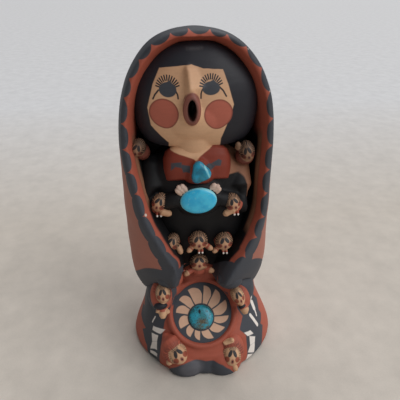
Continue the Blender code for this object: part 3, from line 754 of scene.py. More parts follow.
def drum_paint(place):
    turn = frame_for(DISC_FACING)
    from_middle = place.vector("SUBTRACT", place, Vector(DISC_MIDDLE))
    across = from_middle.vector("DOT_PRODUCT", from_middle, turn.col[0], output=1) - STONE_DROP[0]
    up = from_middle.vector("DOT_PRODUCT", from_middle, turn.col[1], output=1) - STONE_DROP[1]
    away = (across * across + up * up) ** 0.5
    side, rise = across + STONE_DROP[0], up + STONE_DROP[1] - PETALS_RISE
    out = (side * side + rise * rise) ** 0.5
    turned = up.math("ARCTAN2", up, across) / float(2 * np.pi) + 1
    turned = turned.math("FRACT", turned)
    count = len(PETAL_TIPS)
    stops = [(tip / 360, (i / count,) * 3 + (1,)) for i, tip in enumerate(PETAL_TIPS)]
    share = turned.node("ValToRGB", {"stops": [*stops, (1, (1,) * 4)]}, {0: turned}) * count
    share = share.math("FRACT", share)
    bow = (1 - (1 - share) ** PETAL_BOW) ** 0.5
    reach = PETAL_FROM - 1 + bow * (PETAL_TO - PETAL_FROM + 1)
    sides = (share & 1 - share) * away * float(2 * np.pi / count)
    petal = away.past(PETAL_FROM) & (reach - out).past(0, 0.4) & sides.past(PETAL_GAP / 2, 0.4)
    return coated(CHARCOAL, (petal, PETAL))


fired(drum_head, "drum_head_slip", drum_paint)
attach(drum_head, "root")
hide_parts("clay_figure")

# The dress.
# Her black one-shouldered dress with its sleeves, modelled inside the shawl. A pad of clay on its
# front carries the oval stone, and her left shoulder is bare.
BODY_HALF_WIDTH = ((50, 38), (75, 38), (90, 38), (110, 36), (130, 34.5), (145, 34), (153, 30),
                   (159, 22), (164, 15), (172, 13))
BODY_FRONT = ((50, 6), (66, 8), (80, 12), (95, 16), (110, 18.5), (130, 20.5), (150, 18.5),
              (159, 15), (172, 10))
BODY_MIDDLE, BODY_BACK = (-3.4, 4), 24
BODY_LEVELS = (50, 58, 66, 73, 80, 88, 95, 102, 110, 118, 125, 132, 140, 146, 150, 153, 156, 159,
               161, 164)
# Shoulder, elbow and wrist of each arm.
ARMS = (((-33, -1, 149), (-34, -12, 124), (-18, -22, 134)),
        ((24, -1, 148), (24.5, -12, 123), (11, -22, 133)))
ARM_RADII = (8.5, 9.0, 8.5, 5.0)
SLEEVE_SWELL = (0, -3, 1)
BED_DEPTH, BED_SPLAY = 6.0, 3.6
# The stones' beds: middle, facing, width, height, how three-cornered, and the clay left round it.
STONE_BEDS = (((-4.0, -26.0, 134.1), (-0.03, -1, 0.12), 24.0, 18.0, 0.0, 1.2),
              ((-2.6, -23.5, 152.6), (0.05, -1, 0.22), 12.0, 13.5, 0.10, 0.6))


def stone_outline(width, height, corners=0.0, lean=0.0, sides=64):
    """Oval outline about its middle; corners draws it toward a rounded three-cornered pebble, with
    a point up that leans to the left by some degrees."""
    around = 2 * np.pi * np.arange(sides) / sides
    pull = 1 + corners * np.cos(3 * (around - np.pi / 2 - np.radians(lean)))
    return np.stack((width / 2 * np.cos(around) * pull, height / 2 * np.sin(around) * pull), 1)


def stone_bed(middle, facing, width, height, corners, margin):
    """Pad of clay under a stone."""
    turn = frame_for(facing)
    rings = []
    for level, spread in ((-BED_DEPTH, margin + BED_SPLAY), (-0.6, margin), (-0.1, margin * 0.6)):
        ring = []
        for x, y in stone_outline(width, height, corners):
            wider = 1 + spread / np.hypot(x, y)
            ring.append(Vector(middle) + turn @ Vector((x * wider, y * wider, level)))
        rings.append(ring)
    return lofted(rings)


sleeves = []
for shoulder, elbow, wrist in ARMS:
    middle = (Vector(shoulder) + Vector(elbow)) / 2 + Vector(SLEEVE_SWELL)
    sleeves.append(limb((shoulder, middle, elbow, wrist), ARM_RADII, sides=20))
dress = solid("dress", [
    lofted([oval_ring((*BODY_MIDDLE, z), curve_through(BODY_HALF_WIDTH, z),
                      BODY_MIDDLE[1] + curve_through(BODY_FRONT, z), BODY_BACK, sides=64,
                      squareness=2.3) for z in BODY_LEVELS]),
    *sleeves, stone_bed(*STONE_BEDS[0])])
fuse(dress, voxel=0.9, rubs=6)
work_by_hand(dress, depth=0.3, size=15, seed=3)

# The bare shoulder, outward of the sleeve and above it, painted a darker tan than her face as
# painted shade.
SLEEVE_MIDDLE, SLEEVE_RADII = (22.3, 134), (7.6, 13.0)
BARE_FROM, BARE_ARM_FROM, BARE_LOW, BARE_TOP = 13, 24, 130, 147


def dress_paint(place):
    x, z = place.part(0), place.part(2)
    sleeve = oval(x, z, SLEEVE_MIDDLE, SLEEVE_RADII, 0.8)
    bare = (x.past(BARE_FROM, 1.0) & (z.past(BARE_TOP, 1.0) | x.past(BARE_ARM_FROM, 1.0))
            & z.past(BARE_LOW, 0.8) & 1 - sleeve)
    # Painted shade: the bare skin takes the inner wall's dark tan, not the face's skin colour.
    return coated(BLACK, (bare, INNER_WALL))


fired(dress, "dress_slip", dress_paint, rough=0.62)
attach(dress, "root")
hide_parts("clay_figure")

# The head.
# A ball of clay with the chin pressed forward, a pinched ridge for a nose and a round singing mouth
# that was pierced with a stick. Hair, eyes and cheeks are painted on.
HEAD_HALF_WIDTH = ((166, 27.5), (169, 33), (175, 36.6), (184, 38.8), (194, 39.3), (203, 38.2),
                   (211, 34.2), (218, 27.8), (224, 20), (228, 11), (229.3, 3))
HEAD_FRONT = ((166, 13), (170, 16), (178, 20.0), (192, 22.5), (202, 21.5), (211, 18.8),
              (218, 15.4), (224, 11), (228, 6), (229.3, 2))
HEAD_LEVELS = (166, 167.5, 169, 171.5, 174, 178, 182, 186, 190, 194, 198, 202, 206, 210, 213, 216,
               219, 222, 224, 226, 228, 229.3)
HEAD_MIDDLE, HEAD_BACK = (-3.6, -1.0), 24
CHIN, CHIN_RADII = (-7.0, -7.0, 186.5), (23.5, 18.5, 18.0)
NECK, NECK_RADII = ((-5, -3, 157), (-5.5, -4, 166), (-6, -6, 176)), (12, 14, 14)
FACE_TURN = Matrix.Rotation(np.radians(-8.0), 3, "Z") @ UPRIGHT
MOUTH, MOUTH_RADII = Vector((-7.8, -26.0, 193.8)), (5.5, 9.6, 4.2)
HOLLOW_FROM_MOUTH, HOLLOW_RADII = Vector((-0.2, -3.6, -0.2)), (2.6, 6.3, 11.0)
# Sections down the nose: its ridge, half widths to her right and left, and how far it stands out.
NOSE = (((-9.6, -8.0, 222.5), 3.0, 4.5, 3.0), ((-9.4, -21.2, 215.0), 4.2, 8.5, 6.2),
        ((-8.5, -27.6, 205.0), 4.6, 9.0, 7.0), ((-7.8, -24.0, 198.0), 6.5, 7.5, 4.0))

face_side = FACE_TURN @ Vector((1, 0, 0))
nose_rings = []
for place, right, left, high in NOSE:
    ridge, sunk = Vector(place), Vector((0, high, 0))
    nose_rings.append([ridge + face_side * left + sunk, ridge + face_side * 0.6,
                       ridge - face_side * 0.5, ridge - face_side * right + sunk])
head = solid("head", [
    lofted([oval_ring((*HEAD_MIDDLE, z), curve_through(HEAD_HALF_WIDTH, z),
                      curve_through(HEAD_FRONT, z), HEAD_BACK, sides=80, squareness=2.15)
            for z in HEAD_LEVELS]),
    ball(CHIN, CHIN_RADII, FACE_TURN, rows=24, sides=40), limb(NECK, NECK_RADII, sides=32),
    ball(MOUTH, MOUTH_RADII, FACE_TURN, rows=20, sides=32), lofted(nose_rings)])
fuse(head, voxel=0.6, rubs=7)
cut(head, "mouth", [ball(MOUTH + HOLLOW_FROM_MOUTH, HOLLOW_RADII, FACE_TURN, rows=24, sides=32)])
fuse(head, voxel=0.6, rubs=2)
work_by_hand(head, depth=0.15, size=14, seed=4)

# The skin's outlines on the face and throat.
FACE = ((-25.5, 214.8), (-29.6, 206.3), (-33.4, 193.0), (-31.9, 181.8), (-22.3, 170.7),
        (-8, 158), (6, 158), (10.4, 172.1), (14.3, 182.6), (18.4, 194.1), (14.2, 205.2),
        (11.3, 214.1), (10.2, 217.6), (-24.1, 217.6))
THROAT = ((-21.6, 172), (-21.6, 140), (11.6, 140), (10.6, 173))
# The fringe's edge: its peak, the slopes on both sides of it, a corner and the slope past that.
HAIR_LINE = ((-7.2, 217.1), 0.12, -0.32, (-0.2, 214.9), -0.07)
# Painted shade: the skin darkens toward the top of the face, under the hood.
HOOD_SHADE_FROM, HOOD_SHADE_STRENGTH = 207, 0.55
# The eyes: middle, radii, the upper lid's top from the middle, and the strokes at their corners.
EYES = (((-21.1, 203.9), (5.0, 4.1), (1.2, 5.0), ((-26.4, 203.4), (-28.6, 200.8), (-29.8, 198.4)),
         ((-16.6, 203.4), (-15.6, 201.4), (-15.4, 199.2))),
        ((3.7, 204.6), (5.2, 3.7), (1.4, 4.6), ((8.6, 205.2), (10.8, 203.0), (12.7, 199.8)),
         ((-1.5, 204.2), (-2.2, 202.0), (-2.3, 199.4))))
EYE_CORNER, EYE_CORNER_UP, LID_WIDTH = 0.86, 1.9, 0.9
LASH_COUNT, LASH_STEP, LASH_WIDTH, LASHES_SKIPPED = 13, 12.0, 0.78, 1.2
LASH_FROM, LASH_TO, LASH_FROM_RISE, LASH_TO_RISE = 4.2, 7.0, 0.5, 0.9
# The round cheeks' middles, and the way in which each is drawn out to a point.
CHEEKS = (((-23.9, 190.2), (2.4, -9.2)), ((8.2, 189.6), (-0.6, -9.4)))
CHEEK_RADIUS, CHEEK_POINT, CHEEK_SHARPNESS = 8.7, 0.9, 8
LIPS, LIP_RADII, LIP_LINE = (-7.7, 193.8), (5.0, 9.4), 0.3
# The mouth hole's painted shade: black within it, and a darker ring round it.
HOLE_RADII, HOLE_SHADE = (2.1, 5.4), (1.0, 1.6)
# A painted highlight: a faint pale streak across the front of the hair.
HAIR_SHINE_FROM, HAIR_SHINE_TO = (-9.0, 224.6), (-1.0, 225.0)
HAIR, SKIN, HOOD_SHADE = slip(35, 35, 42), slip(217, 173, 136), slip(184, 140, 106)
LIP, LIP_EDGE, CHEEK_EDGE = slip(152, 92, 78), slip(96, 54, 48), slip(132, 70, 56)
CHEEK, LIP_SHADE, HAIR_SHINE = slip(178, 98, 80), slip(62, 40, 38), slip(120, 116, 116)


def face_paint(place):
    x, y, z = (place.part(i) for i in range(3))
    peak, left, near, corner, far = HAIR_LINE
    fringe = (peak[1] + (x - peak[0]) * left
              & (peak[1] + (x - peak[0]) * near | corner[1] + (x - corner[0]) * far))
    skin = (within(x, z, FACE) & z.short_of(fringe) | within(x, z, THROAT)) & y.short_of(-1, 1.0)
    # Painted shade under the hood on the upper face.
    coats = [(skin, SKIN), (skin * z.past(HOOD_SHADE_FROM, 14) * HOOD_SHADE_STRENGTH, HOOD_SHADE)]
    for middle, sharp in CHEEKS:
        across, up = x - middle[0], z - middle[1]
        away = (across * across + up * up) ** 0.5
        toward = (across * sharp[0] + up * sharp[1]) / (away * float(np.hypot(*sharp)) + 0.01)
        edge = CHEEK_RADIUS + ((toward | 0.0) ** CHEEK_SHARPNESS) * CHEEK_POINT
        coats += [((edge - away).past(0), CHEEK_EDGE), ((edge - away).past(0.7, 0.9), CHEEK)]
    for middle, radii, crown, *corners in EYES:
        across, up = x - middle[0], z - middle[1]
        half, level = radii[0] * EYE_CORNER, middle[1] + EYE_CORNER_UP
        eye = oval(x, z, middle, radii) | within(x, z, (
            (middle[0] - half, level), (middle[0] + crown[0], middle[1] + crown[1]),
            (middle[0] + half, level)))
        lids = any_of(line(x, z, start, end, LID_WIDTH)
                      for stroke in corners for start, end in zip(stroke, stroke[1:]))
        away = (across * across + up * up) ** 0.5
        turn = up.math("ARCTAN2", up, across) * float(np.degrees(1) / LASH_STEP) - LASHES_SKIPPED
        lash = abs(turn.math("FRACT", turn) - 0.5) * away * float(2 * np.radians(LASH_STEP))
        lash = lash.short_of(LASH_WIDTH)
        rise = (up | 0.0) / away
        lash = (lash & away.past(LASH_FROM + rise * LASH_FROM_RISE)
                & away.short_of(LASH_TO + rise * LASH_TO_RISE, 0.5))
        lash = lash & turn.past(0, 0.05) & turn.short_of(LASH_COUNT, 0.05)
        coats += [(lids | lash, HAIR), (eye, CHARCOAL)]
    # Painted shade: the mouth's hole is black, with a darker ring round it on the lips.
    coats += [(oval(x, z, LIPS, (LIP_RADII[0] + LIP_LINE, LIP_RADII[1] + LIP_LINE)), LIP_EDGE),
              (oval(x, z, LIPS, LIP_RADII, 1.4), LIP),
              (oval(x, z, LIPS, (HOLE_RADII[0] + HOLE_SHADE[0], HOLE_RADII[1] + HOLE_SHADE[1]),
                    2.6), LIP_SHADE),
              (oval(x, z, LIPS, HOLE_RADII, 1.2), BLACK)]
    # Painted highlight on the hair's front.
    shine = line(x, z, HAIR_SHINE_FROM, HAIR_SHINE_TO, 0.6, 2.4) * place.cloud(2.0, 3.0).past(0.4, 0.3)
    coats.append((shine * 0.4, HAIR_SHINE))
    return coated(HAIR, *coats)


fired(head, "face_and_hair_slip", face_paint, rough=0.52, waver=0.15)
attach(head, "root")
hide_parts("clay_figure")

# The collar.
# A flat yoke of clay laid round the neck, with square shoulders and a V in front, slipped red and
# darkened by painted shade from the head above. Two charcoal bows are painted on it, one on each
# side of the stone.

# Heights, half widths and reaches forward, and how steeply the front edge drops.
COLLAR_LEVELS = ((145.2, 20.5, 20.4), (146.8, 22.6, 22.6), (155, 23.0, 22.4), (162, 22.4, 20.4),
                 (166, 20.6, 18.3), (168, 17.0, 16.0))
COLLAR_MIDDLE, COLLAR_BACK, COLLAR_DROP = (-3.6, 2), 14, 0.5
collar_rings = []
for z, wide, front in COLLAR_LEVELS:
    ring = oval_ring((*COLLAR_MIDDLE, z), wide, front, COLLAR_BACK, sides=64, squareness=4.2)
    collar_rings.append([(x, y, z - COLLAR_DROP * max(y + front - COLLAR_MIDDLE[1], 0))
                         for x, y, z in ring])
collar = solid("collar", [lofted(collar_rings), stone_bed(*STONE_BEDS[1])])
fuse(collar, voxel=0.6, rubs=6)
work_by_hand(collar, depth=0.15, size=10, seed=5)

# The collar's red is the slip's own red darkened by painted shade from the head above it.
SHADED_COLLAR_RED = slip(130, 54, 38)
NECK_OPENING = ((-23.5, 167.0), (-20.8, 164.6), (-5.0, 159.6), (11.2, 171.0), (11.2, 180),
                (-23.5, 180))
BOW_SHAPES = (
    ((-20.8, 157.4), (-14.0, 158.2), (-14.1, 154.6), (-18.0, 155.3)),
    ((-20.8, 157.4), (-18.0, 155.3), (-20.9, 152.5)),
    ((-14.0, 156.8), (-8.7, 156.0), (-9.2, 152.3), (-13.3, 151.7), (-14.2, 154.6)),
    ((1.0, 157.2), (4.5, 157.1), (7.2, 155.5), (4.7, 153.2), (0.9, 155.2)),
    ((4.5, 157.1), (9.2, 159.4), (11.4, 158.1), (10.6, 155.2), (7.2, 155.5)),
)


def collar_paint(place):
    x, y, z = (place.part(i) for i in range(3))
    return coated(SHADED_COLLAR_RED, (any_of(within(x, z, shape) for shape in BOW_SHAPES), CHARCOAL),
                  (within(x, z, NECK_OPENING, 0.6) & y.short_of(0, 1.0), SKIN))


fired(collar, "collar_slip", collar_paint)
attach(collar, "root")
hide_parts("clay_figure")

# The hands.
# Each is three short rolls of pale clay side by side, pressed to the dress so that the fingers run
# down behind the upper edge of the oval stone.

# Each hand's knuckles, finger tips, and the way from finger to finger.
HANDS = (((-16.5, -23.8, 143.0), (-12.0, -23.3, 137.8), (0.95, 0.0, 0.85)),
         ((8.4, -23.8, 142.8), (3.8, -23.3, 137.6), (0.95, 0.0, -0.85)))
FINGERS, FINGER_RADII = (-1.7, 0.0, 1.7), (1.7, 1.7, 1.5)
HAND_PALE, HAND_LOWER, HAND_LOWER_TO = slip(214, 186, 170), slip(206, 172, 150), 140
fingers = []
for knuckle, tip, side in HANDS:
    reach = Vector(tip) - Vector(knuckle)
    for share in FINGERS:
        shift = Vector(side) * share
        start = Vector(knuckle) + shift + reach * 0.07 * abs(share)
        fingers.append(limb((start, start + reach * 0.6, Vector(tip) + shift), FINGER_RADII))
hands = solid("hands", fingers)
fuse(hands, voxel=0.3, rubs=3)


def hands_paint(place):
    return coated(HAND_PALE, (place.part(2).short_of(HAND_LOWER_TO, 3.0), HAND_LOWER))


fired(hands, "hands_slip", hands_paint)
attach(hands, "root")
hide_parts("clay_figure")

# The children.
# Each is a pinched body with a ball for a head, small rolls for arms and dabs for feet, pressed on
# to the woman while the clay was wet.

# Name, head's middle, its half width and half height, where it looks, its lean in degrees, the
# body from it, arms (elbow, hand, thickness), feet, and scarf (middle, radii), all from the head.
CHILDREN = (
    ("shoulder_right", (-41.0, -10.5, 165.9), (4.7, 6.0), (-0.15, -1.0, 0.1), -20, (2.0, 8.0, -7.0),
     (), (), ()),
    ("shoulder_left", (28.6, -12.0, 162.0), (5.0, 6.8), (-0.1, -1.0, 0.1), 15, (-1.0, 5.0, -7.0),
     (((-6.4, -1.0, 3.0), (-6.4, -2.0, 5.0), 1.9),), (), ()),
    ("arm_right", (-29.0, -20.0, 131.2), (5.0, 6.4), (-0.15, -1.0, 0.35), -24, (-3.0, 6.0, -6.5),
     (((2.0, -3.4, -6.4), (5.6, -3.0, -7.4), 2.3),), ((-0.9, -4.4, -8.6),), ()),
    ("arm_left", (18.6, -22.0, 130.0), (5.4, 6.2), (0.1, -1.0, 0.35), 18, (3.0, 7.0, -5.5),
     (((-0.8, -3.6, -4.6), (-4.4, -3.2, -6.8), 2.4),), ((2.4, -4.2, -7.8),), ()),
    ("lap_right", (-21.8, -21.0, 99.8), (4.9, 6.4), (-0.15, -1.0, 0.5), -20, (-0.6, 8.0, -4.0),
     (((4.4, -1.5, -4.4), (5.4, -2.6, -7.0), 2.1),), (), ()),
    ("lap_middle", (-3.9, -22.0, 100.8), (6.5, 6.5), (0.0, -1.0, 0.5), 0, (0.0, 8.0, -4.0),
     (((-6.6, -3.0, -6.2), (-6.8, -3.0, -6.4), 1.8), ((8.2, -2.0, -5.8), (8.6, -2.0, -6.0), 1.8)),
     ((1.3, -4.2, -8.2),), ()),
    ("lap_left", (14.0, -21.0, 98.4), (6.3, 6.3), (0.0, -1.0, 0.45), 6, (0.5, 8.0, -4.0),
     (((-6.4, -2.6, -6.4), (-6.8, -2.6, -6.6), 1.7),), ((0.6, -4.2, -7.8),), ()),
    ("drum_top", (-3.2, -17.0, 78.5), (6.8, 5.9), (0.0, -1.0, 0.75), 0, (0.0, 5.0, -10.0),
     (((-9.0, -3.4, -7.4), (-9.6, -3.4, -8.0), 2.0), ((8.8, -3.0, -6.4), (9.4, -3.0, -6.6), 2.0)),
     (), ()),
    ("drum_right", (-29.8, -29.4, 61.6), (5.1, 6.7), (-0.1, -1.0, 0.7), 6, (-2.4, 4.5, -7.0),
     (((-4.2, -5.0, -12.8), (2.6, -5.6, -12.6), 1.9),
      ((-0.9, -6.0, -13.6), (-0.9, -7.0, -14.8), 2.7)), (), ((-2.4, -4.2, -8.2), (4.9, 2.5, 3.4))),
    ("drum_left", (24.0, -29.4, 55.0), (4.5, 7.0), (0.1, -1.0, 0.7), 20, (4.6, 4.0, -6.0),
     (((5.2, -4.4, -10.0), (5.3, -4.8, -10.6), 3.0),), (), ((3.2, -3.8, -7.0), (2.8, 1.5, 2.6))),
    ("foot_right", (-21.2, -46.5, 18.2), (6.6, 7.8), (0.1, -1.0, 0.95), 30, (-6.0, 8.0, 5.5),
     (((-4.6, -1.0, -3.6), (-6.4, -1.6, -6.4), 2.6),), (), ()),
    ("foot_left", (18.6, -47.3, 14.0), (6.3, 7.8), (0.0, -1.0, 0.95), -6, (-0.5, 9.5, 6.0),
     (((1.0, -3.4, -6.4), (2.6, -5.0, -9.4), 2.0), ((-4.6, 3.5, 9.6), (0.4, 3.5, 11.6), 1.7)),
     (), ()),
)
CHILD_DEPTH, CHILD_TOE, TOES_APART = 5.8, 0.7, (-1.2, 1.2)
HEEL_FROM_TOE, HEEL_RADIUS = Vector((0, 3, 1.4)), 0.9
# A body's places along the way from the head, and its thickness there and at its end.
BODY_PLACES, BODY_RADII, BODY_END = (0.1, 0.6, 1.0, 1.3), (4.0, 7.0, 6.5), 3.5
HAIR_STROKES, STROKE = 30, slip(44, 34, 32)
FACE_TAN, TAN, EYE = slip(196, 152, 118), slip(205, 162, 126), slip(52, 49, 50)
CHILD_CHEEK = slip(150, 76, 56)
# Places on a face go from -1 to 1 each way. The eyes slant by some degrees.
CHILD_EYES, EYE_RADII = ((-0.27, 0.14, 58), (0.27, 0.14, -58)), (0.36, 0.19)
CHEEK_SPOT, CHEEK_RADII = (0.62, -0.38), (0.30, 0.27)
MOUTH_SPOT, CHILD_LIP, CHILD_HOLE = (0.02, -0.56), (0.19, 0.22), (0.08, 0.1)
FRINGE_SPOT, FRINGE_RADII = (0, 0.62), (0.42, 0.34)
# The lower children are paler, and the highest ones darker, by painted shade from the hood.
LOW_TO, CHILD_SHADE_FROM = 70, 140
# Name and robe: middle from the head, and radii.
ROBES = {"drum_right": ((-1.6, 3.0, -4.6), (8.0, 11.5, 5.2)),
         "drum_left": ((3.2, 3.2, -3.0), (6.4, 10.0, 5.0)),
         "foot_right": ((-2.6, 2.6, 1.6), (9.0, 10.5, 4.6)),
         "foot_left": ((1.2, 3.2, 2.8), (8.4, 11.6, 4.8))}


def child_paint(place):
    local = place.stored("child_face", "Vector")
    across, up, out = (local.part(i) for i in range(3))
    away = local.vector("LENGTH", local, output=1)
    flat = (across * across + up * up) ** 0.5
    turned = up.math("ARCTAN2", across, up) / float(2 * np.pi)
    strokes = turned * HAIR_STROKES + place.cloud(5.0) * 3.0
    strokes = abs(strokes.math("FRACT", strokes) - 0.5).past(0.15, 0.14)
    # Painted shade: the children high under the hood are darkened.
    low, deep = place.part(2).short_of(LOW_TO, 2), place.part(2).past(CHILD_SHADE_FROM, 4)
    top = (flat - low * 0.2).past(0.60, 0.14) & (up + 0.42).past(0, 0.3)
    fringe = oval(across, up, FRINGE_SPOT, FRINGE_RADII, 0.1) & strokes
    face = (strokes & top) * (1 - low * 0.5) | fringe * 0.8 | out.short_of(-0.2, 0.3)
    eyes = []
    for middle_x, middle_z, slant in CHILD_EYES:
        c, s = float(np.cos(np.radians(slant))), float(np.sin(np.radians(slant)))
        over, rise = across - middle_x, up - middle_z
        eyes.append(oval(over * c + rise * s, rise * c - over * s, (0, 0), EYE_RADII, 0.05))
    cheeks = oval(abs(across), up, CHEEK_SPOT, CHEEK_RADII, 0.1)
    mouth = oval(across, up, MOUTH_SPOT, CHILD_LIP, 0.08)
    # Painted shade: the open mouth is a black spot, with no hole in the clay.
    hole = oval(across, up, MOUTH_SPOT, CHILD_HOLE, 0.06)
    front = out.past(0)
    skull = away.short_of(1.12, 0.06)
    locks = away.short_of(1.5, 0.2) & strokes & up.past(0.1, 0.3)
    hand = place.stored("child_hand").short_of(0.35, 0.3)
    foot = place.stored("child_foot").short_of(0.25, 0.3)
    scarf = place.stored("child_scarf").short_of(1.06, 0.06)
    skin = coated(FACE_TAN, (low, TAN), (cheeks & front, CHILD_CHEEK), (face, STROKE),
                  (any_of(eyes) & front, EYE), (mouth & front, LIP), (hole & front, BLACK),
                  (deep * 0.45, STROKE))
    return coated(TERRACOTTA, (locks * 0.45, STROKE), (hand, FACE_TAN), (hand & low, TAN),
                  (scarf, HAIR), (foot, WHITE), (deep * 0.6, STROKE), (skull, skin))


def nearest(spots, ends, thick):
    """How far each spot is from a limb of some thickness round the line between two ends."""
    start, run = np.array(ends[0]), np.subtract(ends[1], ends[0])
    share = np.clip((spots - start) @ run / max(run @ run, 1e-6), 0, 1)
    return np.linalg.norm(spots - start - share[:, None] * run, axis=1) - thick


child_slip = None
for name, place, (wide, high), facing, lean, body, arms, feet, scarf in CHILDREN:
    turn = frame_for(facing) @ Matrix.Rotation(np.radians(lean), 3, "Z")
    centre, along = Vector(place), Vector(body)
    skull, size = (wide, high, CHILD_DEPTH), (wide + high) / 13
    forms = [ball(centre, skull, turn),
             limb([centre + along * share for share in BODY_PLACES],
                  (*[radius * size for radius in BODY_RADII], BODY_END))]
    for elbow, hand, thick in arms:
        forms.append(limb((centre + along * 0.5, centre + Vector(elbow), centre + Vector(hand)),
                          (thick, thick * 1.1, thick)))
    toes = [Vector(foot) + Vector((side, 0, 0)) for foot in feet for side in TOES_APART]
    for toe in toes:
        forms.append(limb((centre + toe + HEEL_FROM_TOE, centre + toe),
                          (HEEL_RADIUS, CHILD_TOE), sides=12))
    for cloth in (ROBES.get(name), scarf):
        if cloth:
            forms.append(ball(centre + Vector(cloth[0]), cloth[1], turn))
    child = solid(f"child_{name}", forms)
    fuse(child, voxel=0.4, rubs=3)
    spots = points_of(child) / FU - place
    loose = np.array(turn)
    far = np.full(len(spots), 99.0)
    store(child, "child_face", spots @ loose / skull, "FLOAT_VECTOR", "vector")
    store(child, "child_hand", np.min([far] + [nearest(spots, arm[:2], arm[2]) for arm in arms], 0))
    store(child, "child_foot", np.min([far] + [nearest(spots, (toe, toe), CHILD_TOE)
                                               for toe in toes], 0))
    store(child, "child_scarf", far if not scarf else np.linalg.norm(
        (spots - scarf[0]) @ loose / scarf[1], axis=1))
    if child_slip:
        child.data.materials.append(child_slip)
    else:
        child_slip = fired(child, "child_slip", child_paint, rough=0.58, waver=0.12)
    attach(child, "root")
    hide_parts("clay_figure")

# The stones.
# Three cabochons of polished turquoise set in the clay: an oval one that she holds, a pebble at her
# throat, and a round one in the drum that is mottled with brown matrix.
STONE_SUNK, OVAL_TURNED = 1.0, 5
# Up a stone's dome: the share of its outline, and of its thickness.
DOME = ((1, 0), (1, 0.30), (0.995, 0.42), (0.975, 0.53), (0.93, 0.66), (0.86, 0.77), (0.75, 0.87),
        (0.6, 0.94), (0.42, 0.98), (0.22, 0.995), (0.08, 1.0))
SKY_BLUE, SKY_PALE = slip(44, 176, 222), slip(72, 200, 236)
OVAL_RIM_HIGHLIGHT, FLECK, FACET_HIGHLIGHT = slip(140, 216, 228), slip(130, 206, 220), slip(130, 206, 216)
MIDDLE_BLUE, DEEP, LOW_GREEN = slip(38, 150, 184), slip(26, 112, 138), slip(26, 104, 104)
GREEN_BLUE, PATCH = slip(48, 156, 178), slip(40, 128, 138)
MATRIX, GOLDEN_VEIN, VEIN = slip(92, 84, 58), slip(140, 110, 66), slip(36, 46, 46)


def oval_stone_paint(place, x, z):
    clouds = place.cloud(6, 4.0).past(0.5, 0.22)
    flecks = place.cloud(1.4, 2.0).past(0.64, 0.1)
    # Painted highlight: a pale ring round the stone's edge.
    edge = 1 - oval(x, z, (-4.0, 134.1), (11.35, 8.3), 0.5)
    return coated(SKY_BLUE, (clouds, SKY_PALE), (flecks * 0.4, FLECK), (edge, OVAL_RIM_HIGHLIGHT))


def pendant_stone_paint(place, x, z):
    clouds = place.cloud(5, 3.0).past(0.47, 0.25)
    # Painted highlight: a pale line where a facet catches the light.
    facet_highlight = line(x, z, (0.0, 157.4), (3.2, 150.0), 1.0, 0.8)
    low = oval(x, z, (-0.6, 149.4), (3.2, 3.0), 2.5) & place.cloud(4, 2.0).past(0.4, 0.3)
    return coated(DEEP, (clouds, MIDDLE_BLUE), (low * 0.7, LOW_GREEN), (facet_highlight, FACET_HIGHLIGHT))


def round_stone_paint(place, x, z):
    patches = place.cloud(5, 4.0)
    veins = abs(place.cloud(4, 4.0) - 0.5).short_of(0.022, 0.02)
    low = oval(x, z, (-2.4, 33.0), (4.4, 4.8), 3.5)
    flecks = place.cloud(1.1, 2.0).past(0.63, 0.06)
    fleck = oval(x, z, (-3.8, 41.8), (0.8, 1.1), 0.5)
    return coated(GREEN_BLUE, (patches.past(0.54, 0.16), PATCH),
                  (low & patches.past(0.42, 0.16), MATRIX), (low & veins, GOLDEN_VEIN),
                  (veins * 0.5, VEIN), (flecks * 0.8, VEIN), (fleck, BLACK))


(oval_place, oval_facing), (pendant_place, pendant_facing) = (bed[:2] for bed in STONE_BEDS)
round_turn = frame_for(DISC_FACING)
# Name, the solid that it stands for, middle, turn, outline, thickness and colours.
STONES = (
    ("oval_stone", "turquoise_oval", oval_place,
     frame_for(oval_facing) @ Matrix.Rotation(np.radians(OVAL_TURNED), 3, "Z"),
     stone_outline(23.6, 17.4), 4.1, oval_stone_paint),
    ("pendant_stone", "turquoise_pendant", pendant_place, frame_for(pendant_facing),
     stone_outline(11.9, 13.3, 0.15, 18.0), 4.2, pendant_stone_paint),
    ("round_stone", "turquoise_round",
     Vector(DISC_MIDDLE) + round_turn @ Vector((*STONE_DROP, -DISC_RECESS)), round_turn,
     stone_outline(18.2, 18.2), 4.6, round_stone_paint),
)
for name, node, place, turn, outline, thick, paint in STONES:
    stone = solid(name, [lofted([[Vector(place) + turn @ Vector((
        x * share, y * share, thick * height - STONE_SUNK)) for x, y in outline]
        for share, height in DOME])])
    stone.data.shade_smooth()
    material, spot = bare_material(name)
    waves = spot.cloud(3, 2.0)
    bump = spot.node("Bump", {}, {"Strength": 0.4, "Distance": 0.08 * FU, "Height": waves})
    surface(stone, material, spot, {
        "Base Color": paint(spot.wavered(0.5, 2.0), spot.part(0), spot.part(2)),
        "Roughness": 0.26 + waves * 0.12, "Normal": bump})
    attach(stone, "root")
    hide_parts(node)

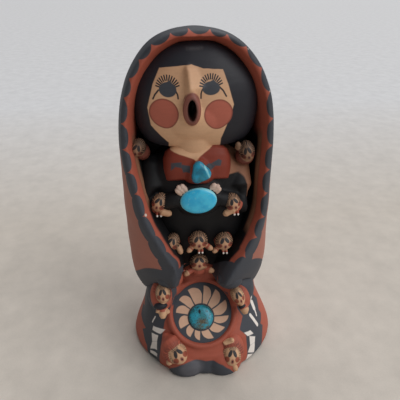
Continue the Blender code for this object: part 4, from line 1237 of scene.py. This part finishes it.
# The studio.
# A plain pale table under the figure, a broad soft light from the right front, another from above
# and behind, and a camera where the viewer stood.
TABLE_REACH, TABLE_LEVELS, TABLE_FAR_FROM = 9000, (-8, -0.05), 420
TABLE_PALE, TABLE_CLOUD, TABLE_FAR = slip(198, 190, 180), slip(192, 184, 174), slip(208, 208, 209)
table = solid("table", [lofted([oval_ring((0, 0, z), TABLE_REACH, TABLE_REACH, TABLE_REACH,
                                          sides=64) for z in TABLE_LEVELS])])
fired(table, "table_paint", lambda place: coated(
    TABLE_PALE, (place.cloud(60, 2.0).past(0.5, 0.6), TABLE_CLOUD),
    (place.part(1).past(TABLE_FAR_FROM, 500), TABLE_FAR)), rough=0.7)
# The lamps: name, where the light comes from, how far it spreads in degrees, and its power.
LAMPS = (("window", (0.7, -0.45, 0.7), 50, 1.6), ("room", (0.3, 0.6, 1.0), 70, 1.6))
for name, place, spread, power in LAMPS:
    lamp = bpy.data.lights.new(name, "SUN")
    lamp.angle, lamp.energy = np.radians(spread), power
    holder = bpy.data.objects.new(name, lamp)
    holder.location = place
    holder.rotation_euler = Vector(place).to_track_quat("Z", "Y").to_euler()
    bpy.context.scene.collection.objects.link(holder)
ROOM_COLOUR, ROOM_LIGHT = slip(235, 236, 240), 0.22
world = bpy.data.worlds.new("room light")
world.use_nodes = True
walls = world.node_tree.nodes["Background"].inputs
walls["Color"].default_value, walls["Strength"].default_value = ROOM_COLOUR, ROOM_LIGHT
bpy.context.scene.world = world
bpy.context.scene.view_settings.view_transform = "Standard"
# The camera's place in metres, its turns, and its lens and picture width in millimetres.
CAMERA_PLACE = (-0.0234, -0.2579, 0.2630)
CAMERA_TURN, CAMERA_PITCH = np.radians(-5.0), np.radians(28.9)
CAMERA_LENS, CAMERA_WIDTH, CAMERA_NEAR = 37.26, 36.0, 0.01
camera = bpy.data.objects.new("camera", bpy.data.cameras.new("camera"))
bpy.context.scene.collection.objects.link(camera)
camera.location = CAMERA_PLACE
camera.rotation_euler = (np.pi / 2 - CAMERA_PITCH, 0, CAMERA_TURN)
camera.data.lens, camera.data.sensor_width = CAMERA_LENS, CAMERA_WIDTH
camera.data.clip_start = CAMERA_NEAR
bpy.context.scene.camera = camera
